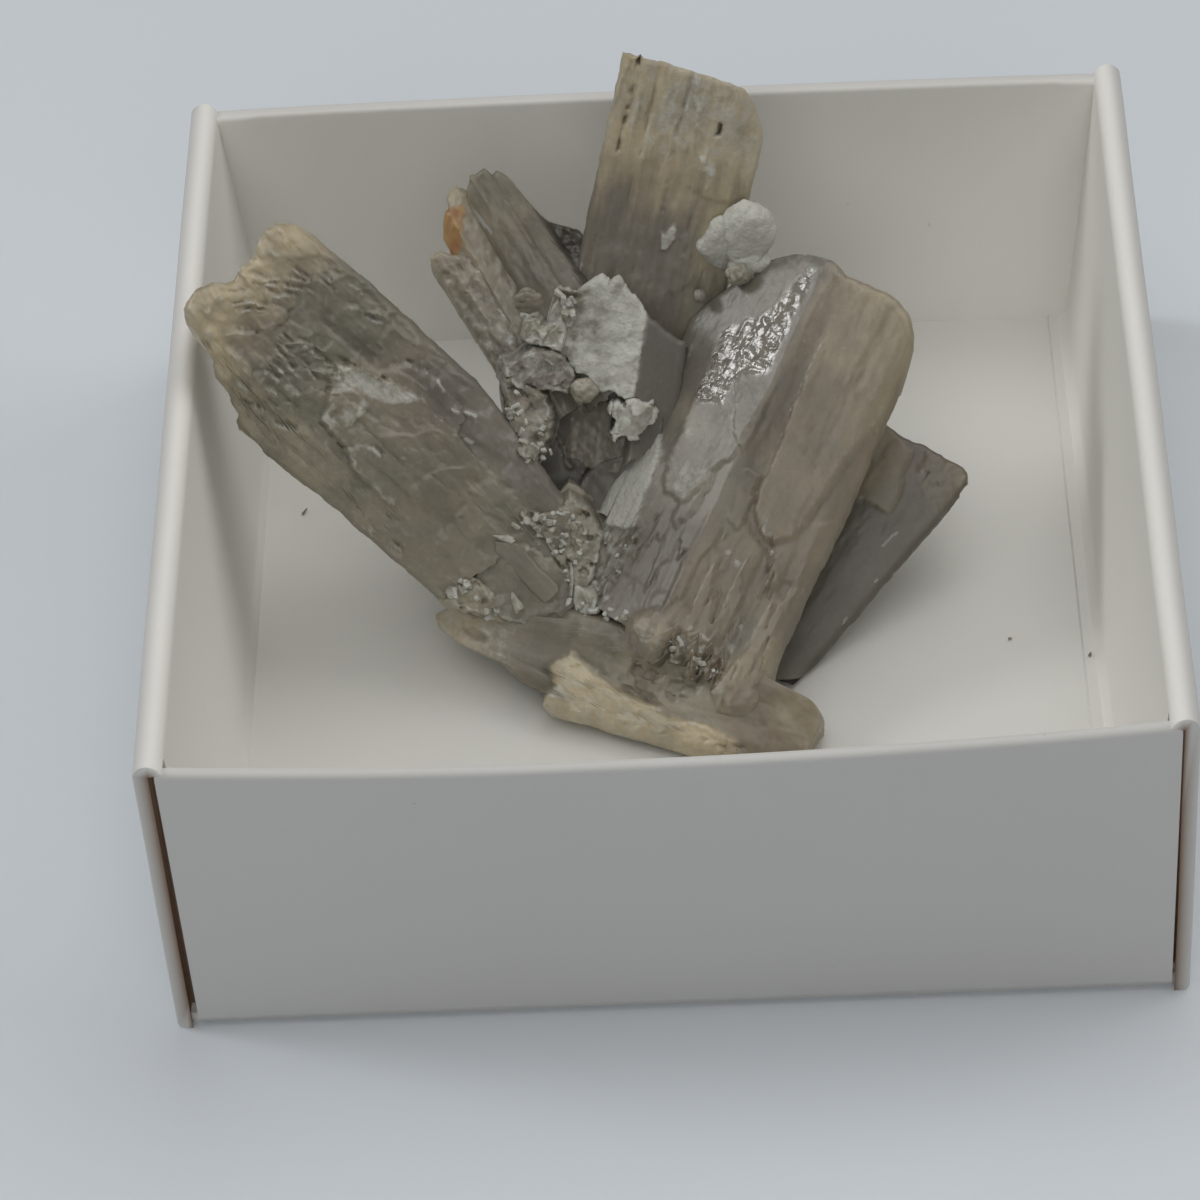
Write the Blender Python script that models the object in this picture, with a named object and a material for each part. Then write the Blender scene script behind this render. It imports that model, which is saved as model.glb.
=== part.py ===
"""A loose aragonite crystal cluster resting in its small open card tray.

Two pieces: the intergrown cluster, one solid, and the folded card tray that holds it.
All sizes are millimetres here and become metres when a mesh is made. The origin is the middle
of the tray's underside, +Z is up, and the tray's low front wall is on the -Y side.
"""
import math
import random

import bpy
import bmesh
import numpy as np
from mathutils import Matrix

MM = 0.001

# The tray: outer size, the card it is folded from, and how its walls stand
TRAY_WIDTH = 40.0
TRAY_DEPTH = 40.0
TRAY_HEIGHT = 15.0
CARD = 0.55
SIDE_RIM = 1.15
SIDE_FOOT = 2.0
END_WALL = 0.6
END_WALL_DROP = 0.4
FRONT_BULGE = 0.9
BACK_BULGE = 0.3
SLIT_WIDTH = 0.25
SLIT_DEPTH = 0.9

# Puts the origin in the middle of the tray's box: its front wall bows out more than its back wall
CENTRE_SHIFT = 0.3

# How far each top corner leans out of square: left or right (-1, 1), front or back (-1, 1)
RIM_LEAN = {
    (-1, -1): (-0.2, 0.0, 0.0),
    (1, -1): (0.4, 0.3, 0.4),
    (-1, 1): (-0.4, -0.3, -0.3),
    (1, 1): (0.2, -0.2, -0.2),
}

# How far each bottom corner stands out of square, in the same way
FOOT_LEAN = {
    (-1, -1): (0.0, -0.4, 0.0),
    (1, -1): (0.4, -0.1, 0.0),
    (-1, 1): (0.0, 0.0, 0.0),
    (1, 1): (0.0, 0.0, 0.0),
}

# The cluster stays this far above the tray's floor, and its lowest points are cut flat there
REST_GAP = 0.3

# Each corner of a column is off its true place by up to this much
ROUGHNESS = 0.05

# The lump at the root of all the crystals
ROOT_CENTRE = (-2.2, 2.6, 3.4)
ROOT_RADII = (4.4, 4.0, 2.8)

SEED = 7


def unit(vector):
    """The vector at length one."""
    vector = np.asarray(vector, float)
    return vector / np.linalg.norm(vector)


def mesh_object(name, points, faces, collection=None):
    """A mesh object from points in millimetres, linked into the scene or a collection."""
    mesh = bpy.data.meshes.new(name)
    mesh.from_pydata([tuple(p * MM for p in point) for point in points], [], faces)
    mesh.validate()
    thing = bpy.data.objects.new(name, mesh)
    (collection or bpy.context.scene.collection).objects.link(thing)
    return thing


def prism(name, lower, upper, collection=None):
    """A closed solid between two rings with the same number of corners, anticlockwise from the top."""
    count = len(lower)
    faces = [tuple(reversed(range(count))), tuple(range(count, 2 * count))]
    for i in range(count):
        j = (i + 1) % count
        faces.append((i, j, count + j, count + i))
    solid = mesh_object(name, list(lower) + list(upper), faces, collection)
    work = bmesh.new()
    work.from_mesh(solid.data)
    bmesh.ops.triangulate(work, faces=work.faces)
    bmesh.ops.recalc_face_normals(work, faces=work.faces)
    work.to_mesh(solid.data)
    work.free()
    return solid


def apply_boolean(target, operation, operand=None, collection=None):
    """Join a whole collection to the target, or cut an operand from it, and keep the result."""
    modifier = target.modifiers.new("boolean", "BOOLEAN")
    modifier.operation = operation
    modifier.solver = "EXACT"
    if collection is not None:
        modifier.operand_type = "COLLECTION"
        modifier.collection = collection
    else:
        modifier.object = operand
    bpy.context.view_layer.update()
    result = target.evaluated_get(bpy.context.evaluated_depsgraph_get())
    mesh = bpy.data.meshes.new_from_object(result)
    target.modifiers.remove(modifier)
    old = target.data
    target.data = mesh
    bpy.data.meshes.remove(old)


def remove_objects(objects):
    """Take helper objects and their meshes out of the scene."""
    for thing in list(objects):
        mesh = thing.data
        bpy.data.objects.remove(thing)
        bpy.data.meshes.remove(mesh)


def shells(work):
    """The faces of each separate closed shell of a mesh."""
    waiting = set(work.faces)
    found = []
    while waiting:
        shell = [waiting.pop()]
        for face in shell:
            for edge in face.edges:
                for other in edge.link_faces:
                    if other in waiting:
                        waiting.remove(other)
                        shell.append(other)
        found.append(shell)
    return found


def weld(target, distance=0.0005):
    """Merge points closer than half a micron, drop slivers and pockets, and split faces into triangles."""
    work = bmesh.new()
    work.from_mesh(target.data)
    largest = max(shells(work), key=len)
    keep = set(largest)
    bmesh.ops.delete(work, geom=[face for face in work.faces if face not in keep], context="FACES")
    bmesh.ops.remove_doubles(work, verts=work.verts, dist=distance * MM)
    bmesh.ops.dissolve_degenerate(work, edges=work.edges, dist=distance * MM)
    bmesh.ops.triangulate(work, faces=work.faces)
    bmesh.ops.recalc_face_normals(work, faces=work.faces)
    work.to_mesh(target.data)
    work.free()


def principled(name, colour, roughness):
    """A plain material."""
    material = bpy.data.materials.new(name)
    material.use_nodes = True
    shader = material.node_tree.nodes["Principled BSDF"]
    shader.inputs["Base Color"].default_value = (*colour, 1.0)
    shader.inputs["Roughness"].default_value = roughness
    shader.inputs["Metallic"].default_value = 0.0
    return material


class Crystal:
    """The frame of one crystal: its axis from foot to tip, its front, and the way across.

    A point is given as (across, along, out): to the right of the axis as the front is seen,
    along the axis from the foot, and out of the front.
    """

    def __init__(self, foot, tip, facing):
        self.foot = np.asarray(foot, float)
        self.axis = unit(np.asarray(tip, float) - self.foot)
        facing = np.asarray(facing, float)
        self.front = unit(facing - facing.dot(self.axis) * self.axis)
        self.side = np.cross(self.axis, self.front)

    def point(self, across, along, out):
        return self.foot + across * self.side + along * self.axis + out * self.front

    def column(self, parts, left, right, start, end, front, back, slant=0.0, lean=0.0, undercut=0.0):
        """One six-sided column of the bundle.

        front is the height of its front at the left and right edge, back the height of its back.
        slant lowers the right side of the tip, lean carries the tip to the right, and undercut
        shortens the back of the tip by so much for each millimetre of depth.
        """
        front_left, front_right = front
        chamfer = min(0.2, 0.2 * (right - left))
        tuck = 0.22 * (right - left)
        section = [
            (left, front_left - chamfer),
            (left + tuck, back),
            (right - tuck, back + 0.1),
            (right, front_right - chamfer),
            (right - chamfer, front_right),
            (left + chamfer, front_left),
        ]
        middle = (left + right) / 2
        dice = random.Random(f"{left} {right} {start} {end}")

        def rough():
            return dice.uniform(-ROUGHNESS, ROUGHNESS)

        lower = [self.point(u + rough(), start + rough(), v + rough()) for u, v in section]
        upper = []
        for u, v in section:
            drop = slant * (u - middle) / (right - left) + undercut * (max(front) - v)
            upper.append(self.point(u + lean + rough(), end - drop + rough(), v + rough()))
        prism("column", lower, upper, parts)


def left_crystal(parts):
    """The long crystal that leans to the left rim: a bundle with a stepped left edge."""
    crystal = Crystal(foot=(-6.9, 0.2, 7.4), tip=(-16.3, 3.6, 18.4), facing=(0.35, -0.77, 0.54))
    for left, right, start, end, front, back, slant in (
            (-4.4, -3.8, 0.0, 11.1, (-1.2, -0.9), -2.2, 0.2),
            (-4.2, -3.4, -1.0, 12.0, (-0.9, -0.6), -2.5, 0.0),
            (-3.8, -2.9, -2.0, 13.4, (-0.6, -0.2), -2.9, 0.0),
            (-3.2, -1.9, -3.0, 16.0, (-0.2, 0.0), -3.0, -0.6),
            (-2.1, -0.6, -4.0, 16.3, (0.0, 0.1), -3.4, 0.8),
            (-0.8, 1.1, -5.0, 15.6, (0.0, -0.1), -3.8, 0.0),
            (0.9, 2.4, -5.0, 15.9, (-0.05, 0.1), -3.9, -0.3),
            (2.2, 3.6, -5.0, 15.3, (0.0, -0.5), -3.3, 1.0)):
        crystal.column(parts, left, right, start, end, front, back, slant, undercut=0.38)
    # Broad thin plates that step down towards the foot
    crystal.column(parts, -2.7, -0.2, -1.0, 7.2, (0.3, 0.5), -0.6, slant=-0.6)
    crystal.column(parts, -0.5, 1.5, -1.0, 7.2, (0.5, 0.5), -0.6, slant=1.4)
    crystal.column(parts, -2.2, 0.8, 1.0, 9.4, (0.15, 0.3), -0.6, slant=-0.8)
    crystal.column(parts, 0.7, 2.5, 1.5, 7.6, (0.25, 0.2), -0.6, slant=1.2)


def back_crystals(parts):
    """The three slim bundles that fan out at the back left."""
    facing = (-0.06, -0.68, 0.74)
    outer = Crystal(foot=(-5.8, 6.0, 10.1), tip=(-9.0, 10.2, 13.8), facing=facing)
    outer.column(parts, -0.9, 0.0, -1.0, 6.4, (-0.1, 0.1), -1.8, slant=-0.3)
    outer.column(parts, -0.2, 0.9, -1.0, 6.0, (0.1, -0.1), -1.8, slant=0.5)
    middle = Crystal(foot=(-4.6, 6.4, 10.6), tip=(-8.5, 12.0, 15.4), facing=facing)
    middle.column(parts, -1.35, -0.6, -2.0, 7.1, (-0.3, -0.1), -1.5, slant=-0.3)
    middle.column(parts, -0.95, 0.1, -2.0, 7.8, (-0.2, 0.0), -1.8, slant=-0.6)
    middle.column(parts, -0.2, 0.8, -2.0, 8.7, (-0.2, -0.2), -1.8)
    inner = Crystal(foot=(-3.0, 6.6, 11.0), tip=(-7.1, 12.5, 15.9), facing=facing)
    inner.column(parts, -1.1, -0.2, -2.0, 8.5, (-0.1, 0.1), -1.9, slant=-0.4)
    inner.column(parts, -0.4, 0.4, -2.0, 9.0, (0.1, 0.1), -2.1)
    inner.column(parts, 0.2, 1.3, -2.0, 8.4, (0.1, -0.3), -1.9, slant=0.9, lean=-0.3)
    inner.column(parts, 0.8, 2.2, -2.0, 5.3, (-0.7, -1.0), -2.2, slant=0.8)


def tall_crystal(parts):
    """The tall plate at the back, made of six broad columns side by side."""
    crystal = Crystal(foot=(-1.5, 7.6, 9.1), tip=(1.8, 12.5, 20.7), facing=(-0.06, -0.91, 0.40))
    for left, right, start, end, front, back, slant in (
            (-3.1, -2.3, -7.0, 13.4, (-0.4, -0.2), -2.0, 0.0),
            (-2.5, -1.2, -7.0, 13.5, (-0.1, 0.0), -2.5, 0.0),
            (-1.4, 0.1, -7.0, 13.45, (0.0, -0.1), -2.7, 0.1),
            (-0.1, 1.6, -7.0, 13.3, (-0.2, -0.15), -2.6, 0.1),
            (1.4, 2.7, -6.0, 12.9, (-0.15, -0.4), -2.4, 0.8),
            (2.4, 3.4, -5.0, 11.5, (-0.4, -0.8), -2.0, 0.9)):
        crystal.column(parts, left, right, start, end, front, back, slant, undercut=0.42)


def middle_crystal(parts):
    """The blunt frosted crystal between the tall one and the right one."""
    crystal = Crystal(foot=(-4.6, 0.5, 4.9), tip=(-2.4, 7.4, 14.1), facing=(0.01, -0.80, 0.60))
    crystal.column(parts, -1.3, 0.3, 2.0, 11.8, (-1.1, -0.6), -3.0, slant=-0.6, undercut=0.3)
    crystal.column(parts, 0.1, 2.2, 2.0, 11.2, (-0.6, 0.0), -3.4, slant=1.7, undercut=0.3)
    crystal.column(parts, 2.0, 4.0, 2.0, 10.0, (0.0, -1.0), -3.0, slant=0.7, undercut=0.3)
    # The white lump on its ridge, and the dark blocks in the hollow below
    lump(parts, crystal.point(2.1, 6.2, 0.1), (1.0, 0.7, 1.0), "white lump")
    crystal.column(parts, -1.5, 1.3, 0.0, 7.2, (-1.9, -1.7), -4.5, slant=0.6)
    crystal.column(parts, 0.2, 1.9, 0.0, 4.9, (-1.5, -0.9), -4.5, slant=-1.2)
    crystal.column(parts, -3.4, -1.2, 0.0, 9.4, (-2.2, -1.8), -4.6, slant=0.6)


def right_crystal(parts):
    """The broad crystal on the right: a roof with a ridge, stepped plates and ragged lower ends."""
    crystal = Crystal(foot=(-1.2, -4.6, 4.2), tip=(6.8, 7.5, 14.0), facing=(-0.21, -0.52, 0.83))
    # The two slopes of the roof, left to right
    for left, right, start, end, front, back, slant in (
            (-5.2, -3.6, 4.9, 14.9, (-1.8, -1.25), -3.0, -1.8),
            (-3.8, -2.2, 1.2, 16.6, (-1.3, -0.75), -3.6, -1.8),
            (-2.4, -1.0, 0.9, 17.7, (-0.8, -0.35), -4.2, -0.8),
            (-1.2, 0.2, 0.1, 18.3, (-0.4, 0.0), -4.6, -0.3),
            (0.0, 1.4, 0.3, 18.3, (0.0, -0.45), -4.6, 0.2),
            (1.2, 2.8, 0.0, 18.0, (-0.45, -0.9), -4.4, 0.0),
            (2.6, 4.6, 2.0, 17.5, (-0.9, -1.5), -3.6, 1.2),
            (4.2, 4.95, 2.0, 13.2, (-1.3, -1.6), -3.2, 1.0)):
        crystal.column(parts, left, right, start, end, front, back, slant)
    # The long tongue-shaped plate and the steps around it
    crystal.column(parts, 1.1, 2.8, 6.9, 18.1, (-0.15, -0.3), -1.2)
    crystal.column(parts, 2.5, 4.4, 6.5, 17.6, (-0.3, -0.8), -1.6, slant=1.0)
    crystal.column(parts, 2.9, 4.8, 4.8, 12.0, (-0.7, -1.2), -2.2, slant=0.8)
    crystal.column(parts, -4.6, -2.9, 4.6, 9.0, (-1.3, -0.8), -2.0, slant=-1.0)
    crystal.column(parts, -2.4, -0.6, 6.6, 12.5, (-0.5, -0.05), -1.4, slant=-1.0)
    # Ragged column ends at the foot
    crystal.column(parts, -3.9, -2.6, 0.8, 6.0, (-1.2, -0.9), -3.0)
    crystal.column(parts, 2.6, 3.9, -0.3, 6.0, (-1.0, -1.2), -4.0)
    crystal.column(parts, 3.1, 4.8, -1.1, 6.0, (-1.2, -1.6), -3.6, slant=0.6)


def low_right_crystal(parts):
    """The dark crystal low on the right, with a square end and a sharp outer corner."""
    crystal = Crystal(foot=(5.4, -2.3, 1.6), tip=(11.2, 4.1, 6.0), facing=(-0.13, -0.51, 0.85))
    crystal.column(parts, -5.6, -3.6, -1.0, 8.0, (1.2, 1.0), -2.0)
    crystal.column(parts, -4.0, -2.0, -1.0, 9.6, (0.9, 0.2), -2.2)
    crystal.column(parts, -2.2, -0.3, -1.5, 10.0, (0.1, 0.0), -2.4)
    crystal.column(parts, -0.5, 1.0, -1.5, 10.1, (0.0, -0.2), -2.2, slant=-0.2, lean=0.55)


def front_plate(parts):
    """The plate that lies across the front, its right end on the floor."""
    crystal = Crystal(foot=(5.3, -7.4, 2.5), tip=(-9.7, -1.4, 3.3), facing=(-0.17, -0.54, 0.82))
    crystal.column(parts, -2.5, -0.6, 0.1, 4.5, (-0.6, -0.2), -1.4)
    crystal.column(parts, -1.5, 1.4, -0.5, 3.5, (-0.3, 0.0), -1.4)
    crystal.column(parts, -2.1, 0.4, 0.8, 11.0, (-0.5, 0.0), -1.3)
    crystal.column(parts, -2.3, -1.0, 3.0, 10.0, (-0.6, 0.1), -1.2)
    crystal.column(parts, -0.4, 1.9, 1.5, 11.2, (0.0, 0.2), -1.9, slant=0.8)
    crystal.column(parts, -1.5, 1.4, 9.5, 13.6, (-0.8, -0.2), -1.7, slant=-1.2, lean=0.3)
    crystal.column(parts, -0.6, 1.2, 11.0, 16.2, (-0.7, -0.2), -1.5, slant=-0.8, lean=0.2)
    crystal.column(parts, 0.8, 2.8, 7.0, 13.5, (-0.5, -0.8), -2.6)


def lump(parts, centre, radii, name):
    """A blunt many-sided lump."""
    dice = random.Random(name)
    work = bmesh.new()
    bmesh.ops.create_icosphere(work, subdivisions=1, radius=1.0)
    points = []
    for vertex in work.verts:
        swell = 1.0 + dice.uniform(-0.15, 0.1)
        points.append([centre[i] + radii[i] * swell * vertex.co[i] for i in range(3)])
    faces = [tuple(corner.index for corner in face.verts) for face in work.faces]
    work.free()
    return mesh_object(name, points, faces, parts)


def block(parts, centre, radius, length, direction, dice):
    """One small six-sided crystal with blunt ends."""
    axis = unit(direction)
    helper = unit(np.cross(axis, (0.3, 0.9, -0.2)))
    other = np.cross(axis, helper)
    turn = dice.uniform(0, math.pi)
    rings = []
    for end, scale in ((-0.5, 0.95), (0.5, 0.7)):
        ring = []
        for i in range(6):
            angle = turn + i * math.pi / 3
            wide = radius * scale * (1.0 if i % 3 else 1.3)
            ring.append(np.asarray(centre) + end * length * axis
                        + wide * math.cos(angle) * helper + wide * math.sin(angle) * other)
        rings.append(ring)
    prism("block", rings[0], rings[1], parts)


# Zones of small crystals in the middle crystal's frame: where the row starts and ends
# (across, along), how far out it lies, how many there are, and their size
DRUSE_ROWS = (
    ((-2.9, 9.0), (-0.6, 10.9), -1.2, 6, 0.62),
    ((-3.2, 8.0), (-0.5, 8.6), -1.0, 6, 0.55),
    ((-2.6, 6.2), (-1.0, 6.6), -1.2, 4, 0.5),
    ((-2.5, 5.2), (-0.6, 3.2), -0.9, 6, 0.42),
    ((-1.9, 2.4), (0.8, 2.2), -0.9, 6, 0.42),
    ((-1.0, 1.4), (1.6, 0.6), -0.7, 6, 0.4),
    ((-0.3, 0.2), (2.3, -0.6), -0.5, 5, 0.42),
)


def crust(parts):
    """Small crystals and lumps fused on the core."""
    dice = random.Random(SEED)
    # The cloudy lump beside the tall crystal
    lump(parts, (3.8, 10.6, 13.8), (1.35, 1.1, 1.5), "cloudy lump")
    lump(parts, (3.3, 9.8, 12.3), (0.9, 0.9, 0.9), "small lump")
    lump(parts, (1.9, 9.0, 11.8), (0.5, 0.6, 0.5), "little lump")
    lump(parts, (-6.4, 6.0, 12.1), (0.75, 0.7, 0.75), "round lump")
    patch = Crystal(foot=(-4.6, 0.5, 4.9), tip=(-2.4, 7.4, 14.1), facing=(0.01, -0.80, 0.60))
    for start, end, out, count, size in DRUSE_ROWS:
        for place in range(count):
            share = (place + dice.uniform(0.2, 0.8)) / count
            across = start[0] + (end[0] - start[0]) * share
            along = start[1] + (end[1] - start[1]) * share + dice.uniform(-0.3, 0.3)
            tilt = (dice.uniform(-0.7, 0.7), -0.8 + dice.uniform(-0.5, 0.5), 0.6 + dice.uniform(-0.5, 0.5))
            centre = patch.point(across, along, out - 0.5)
            block(parts, centre, size * dice.uniform(0.8, 1.2), dice.uniform(1.6, 2.4), tilt, dice)
    # Laths and shards where the crystals meet at the front
    for across, along, out, radius, length, lean in (
            (-1.6, -0.5, -0.4, 0.6, 3.0, 0.8),
            (2.2, 0.0, -0.5, 0.4, 2.6, -0.3),
            (1.3, -1.4, -0.3, 0.6, 1.6, 0.1),
            (-3.4, -1.9, -0.3, 0.5, 2.0, 0.7)):
        block(parts, patch.point(across, along, out), radius, length, patch.axis - patch.side * lean, dice)


def root_mass():
    """The lump that all the crystals grow from, mostly hidden underneath."""
    dice = random.Random(SEED + 1)
    work = bmesh.new()
    bmesh.ops.create_icosphere(work, subdivisions=2, radius=1.0)
    for vertex in work.verts:
        swell = 1.0 + dice.uniform(-0.12, 0.12)
        for i in range(3):
            vertex.co[i] = (ROOT_CENTRE[i] + ROOT_RADII[i] * swell * vertex.co[i]) * MM
    mesh = bpy.data.meshes.new("aragonite")
    work.to_mesh(mesh)
    work.free()
    cluster = bpy.data.objects.new("aragonite", mesh)
    bpy.context.scene.collection.objects.link(cluster)
    return cluster


def make_cluster():
    """The whole intergrown cluster as one solid, cut flat where it rests."""
    cluster = root_mass()
    parts = bpy.data.collections.new("cluster parts")
    bpy.context.scene.collection.children.link(parts)
    for grow in (left_crystal, back_crystals, tall_crystal, middle_crystal, right_crystal,
                 low_right_crystal, front_plate, crust):
        grow(parts)
    apply_boolean(cluster, "UNION", collection=parts)
    remove_objects(parts.objects)
    bpy.data.collections.remove(parts)
    reach = TRAY_WIDTH
    top = CARD + REST_GAP
    corners = [(-reach, -reach), (reach, -reach), (reach, reach), (-reach, reach)]
    below = prism("below", [(x, y, -reach) for x, y in corners], [(x, y, top) for x, y in corners])
    apply_boolean(cluster, "DIFFERENCE", operand=below)
    remove_objects([below])
    weld(cluster)
    return cluster


def swept_wall(name, section, path):
    """A closed wall: a section of (outward, up) points placed at each point of the path.

    A path point is (place, outward, bulge): the corner the section stands on, the level direction
    that its outside faces, and how far its top bows outwards.
    """
    rings = []
    for place, outward, bulge in path:
        ring = []
        for out, up in section:
            level = out + bulge * (up / TRAY_HEIGHT) ** 1.5
            ring.append((place[0] + outward[0] * level, place[1] + outward[1] * level, up))
        rings.append(ring)
    count = len(section)
    points = [point for ring in rings for point in ring]
    faces = [tuple(range(count)), tuple(reversed(range((len(rings) - 1) * count, len(rings) * count)))]
    for k in range(len(rings) - 1):
        for i in range(count):
            j = (i + 1) % count
            faces.append((k * count + i, (k + 1) * count + i, (k + 1) * count + j, k * count + j))
    wall = mesh_object(name, points, faces)
    work = bmesh.new()
    work.from_mesh(wall.data)
    bmesh.ops.recalc_face_normals(work, faces=work.faces)
    work.to_mesh(wall.data)
    work.free()
    return wall


def rim_section(foot_thickness, rim_thickness, height):
    """The section of a folded wall: upright outside, sloping inside and a rounded rim."""
    radius = rim_thickness / 2
    section = [(0.0, 0.0), (0.0, height - radius)]
    for step in range(1, 6):
        angle = math.pi * step / 6
        section.append((-radius + radius * math.cos(angle), height - radius + radius * math.sin(angle)))
    section += [(-rim_thickness, height - radius), (-foot_thickness, 0.0)]
    return section


def lean(target):
    """Move the tray's points: each top and bottom corner by its own amount, and evenly between them."""
    half_width, half_depth = TRAY_WIDTH / 2 * MM, TRAY_DEPTH / 2 * MM
    for vertex in target.data.vertices:
        x, y, z = vertex.co
        across = max(-1.0, min(1.0, x / half_width))
        along = max(-1.0, min(1.0, y / half_depth))
        up = max(0.0, z / (TRAY_HEIGHT * MM))
        shift = np.zeros(3)
        for side, end in RIM_LEAN:
            share = (1 + side * across) / 2 * (1 + end * along) / 2
            amount = up * np.asarray(RIM_LEAN[side, end]) + (1 - up) * np.asarray(FOOT_LEAN[side, end])
            shift += share * amount * MM
        vertex.co = (x + shift[0], y + shift[1], z + shift[2])


def make_tray():
    """The folded card tray: a floor, double side walls, single end walls and the corner slits."""
    half_width, half_depth = TRAY_WIDTH / 2, TRAY_DEPTH / 2
    inner = half_width - 0.3
    corners = [(-inner, -half_depth + 0.1), (inner, -half_depth + 0.1),
               (inner, half_depth - 0.1), (-inner, half_depth - 0.1)]
    tray = prism("card_tray", [(x, y, 0.0) for x, y in corners], [(x, y, CARD) for x, y in corners])
    helpers = bpy.data.collections.new("tray parts")
    bpy.context.scene.collection.children.link(helpers)

    def keep(wall):
        bpy.context.scene.collection.objects.unlink(wall)
        helpers.objects.link(wall)

    side = rim_section(SIDE_FOOT, SIDE_RIM, TRAY_HEIGHT)
    for sign in (-1, 1):
        path = [((sign * half_width, y), (sign, 0), 0.0) for y in np.linspace(-half_depth, half_depth, 5)]
        keep(swept_wall("side wall", side, path))
    end_height = TRAY_HEIGHT - END_WALL_DROP
    end = rim_section(END_WALL, END_WALL, end_height)
    reach = half_width - CARD - SLIT_WIDTH
    for sign, bulge in ((-1, FRONT_BULGE), (1, BACK_BULGE)):
        path = []
        for x in np.linspace(-reach, reach, 13):
            bow = bulge * (1 - (x / reach) ** 2)
            path.append(((x, sign * half_depth), (0, sign), bow))
        keep(swept_wall("end wall", end, path))
    apply_boolean(tray, "UNION", collection=helpers)
    remove_objects(helpers.objects)
    bpy.data.collections.remove(helpers)
    # The open slits at the two front corners, between the end wall and the side walls' cut edges
    for sign in (-1, 1):
        near, far = sign * reach, sign * (reach + SLIT_WIDTH)
        left, right = min(near, far), max(near, far)
        front, back = -half_depth - 1.0, -half_depth + SLIT_DEPTH
        ring = [(left, front), (right, front), (right, back), (left, back)]
        slit = prism("slit", [(x, y, CARD) for x, y in ring], [(x, y, end_height - 0.2) for x, y in ring])
        apply_boolean(tray, "DIFFERENCE", operand=slit)
        remove_objects([slit])
    weld(tray)
    lean(tray)
    return tray


def main():
    for thing in list(bpy.data.objects):
        bpy.data.objects.remove(thing)
    tray = make_tray()
    tray.data.materials.clear()
    tray.data.materials.append(principled("white card", (0.78, 0.78, 0.75), 0.75))
    cluster = make_cluster()
    cluster.data.materials.clear()
    cluster.data.materials.append(principled("aragonite", (0.25, 0.22, 0.18), 0.35))
    for piece in (tray, cluster):
        piece.data.transform(Matrix.Translation((0.0, CENTRE_SHIFT * MM, 0.0)))


main()
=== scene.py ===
"""Dresses the aragonite cluster and its folded card tray, and sets up a plain studio view.

Sizes and places are millimetres, and become metres when a mesh is made. The origin is the middle of
the tray's underside, +Z is up, and the tray's low front wall is on the -Y side.
"""
import math

import bpy
import numpy as np
from mathutils import Matrix


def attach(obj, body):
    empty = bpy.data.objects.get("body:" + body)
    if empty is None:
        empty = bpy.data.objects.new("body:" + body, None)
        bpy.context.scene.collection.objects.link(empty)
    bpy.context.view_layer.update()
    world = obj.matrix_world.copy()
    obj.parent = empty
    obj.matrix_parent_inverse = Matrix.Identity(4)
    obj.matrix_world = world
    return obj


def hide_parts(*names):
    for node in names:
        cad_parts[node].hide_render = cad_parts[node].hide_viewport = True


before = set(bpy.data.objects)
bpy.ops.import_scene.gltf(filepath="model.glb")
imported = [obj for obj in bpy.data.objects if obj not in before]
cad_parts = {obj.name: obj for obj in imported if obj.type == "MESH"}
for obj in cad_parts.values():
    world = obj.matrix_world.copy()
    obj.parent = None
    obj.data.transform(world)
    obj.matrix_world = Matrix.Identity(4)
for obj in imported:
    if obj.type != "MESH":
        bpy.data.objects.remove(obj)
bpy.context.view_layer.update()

MM = 0.001

# The tray: outer size, its card, and how its walls stand
TRAY_WIDTH = 40.0
TRAY_DEPTH = 40.0
TRAY_HEIGHT = 15.0
CARD = 0.55
SIDE_RIM = 1.15
SIDE_FOOT = 2.0
END_WALL = 0.6
END_WALL_DROP = 0.4
FRONT_GAP = 0.4
FRONT_BULGE = 0.85
BACK_BULGE = 0.28
SLIT_DEPTH = 0.9
SLIT_LEFT = 0.33
SLIT_RIGHT = 0.16

# Puts the origin in the middle of the tray's box: its front wall bows out more than its back wall
CENTRE_SHIFT = 0.3

# The cluster's lowest level, just above the tray's floor, and its highest
REST = CARD + 0.3
HIGHEST = 21.48

# The way from the stone to the camera, by which a carved mark is placed where the photograph shows it
SIGHT = np.array([0.039, -0.702, 0.711])

# How far each corner, left or right (-1, 1) and front or back (-1, 1), is out of square: rim and foot
LEAN = {
    (-1, -1): ((-0.2, 0.0, 0.0), (0.0, -0.4, 0.0)),
    (1, -1): ((0.4, 0.3, 0.37), (0.37, -0.1, 0.0)),
    (-1, 1): ((-0.37, -0.3, -0.3), (0.0, 0.0, 0.0)),
    (1, 1): ((0.2, -0.2, -0.2), (0.0, 0.0, 0.0)),
}

# What a point of the stone may carry, from 0 to 1: a tone or a finish of its material, and also painted
# light:
# dark carries painted shade, frost a few painted glints and highlights, and rust a painted glow
TONES = ("tan", "violet", "frost", "rust", "dark", "gloss", "streaky")


# Noise and outlines

def dice(places, seed):
    """One number from 0 to 1 for each whole-numbered place, by mixing its coordinates' bits."""
    mixed = np.full(places.shape[:-1], seed * 668265263, np.int64)
    for k, factor in zip(range(places.shape[-1]), (374761393, 2246822519, 3266489917)):
        mixed = mixed + places[..., k].astype(np.int64) * factor
    for factor in (1274126177, 1103515245):
        mixed = (mixed ^ (mixed >> 15)) & 0xFFFFFFFF
        mixed = (mixed * factor) & 0xFFFFFFFF
    return (mixed ^ (mixed >> 16)) / 0xFFFFFFFF


def ramp(value, low, high):
    """0 below low, 1 above high, and 3t^2 - 2t^3 between."""
    t = np.clip((value - low) / (high - low), 0, 1)
    return t * t * (3 - 2 * t)


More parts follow.
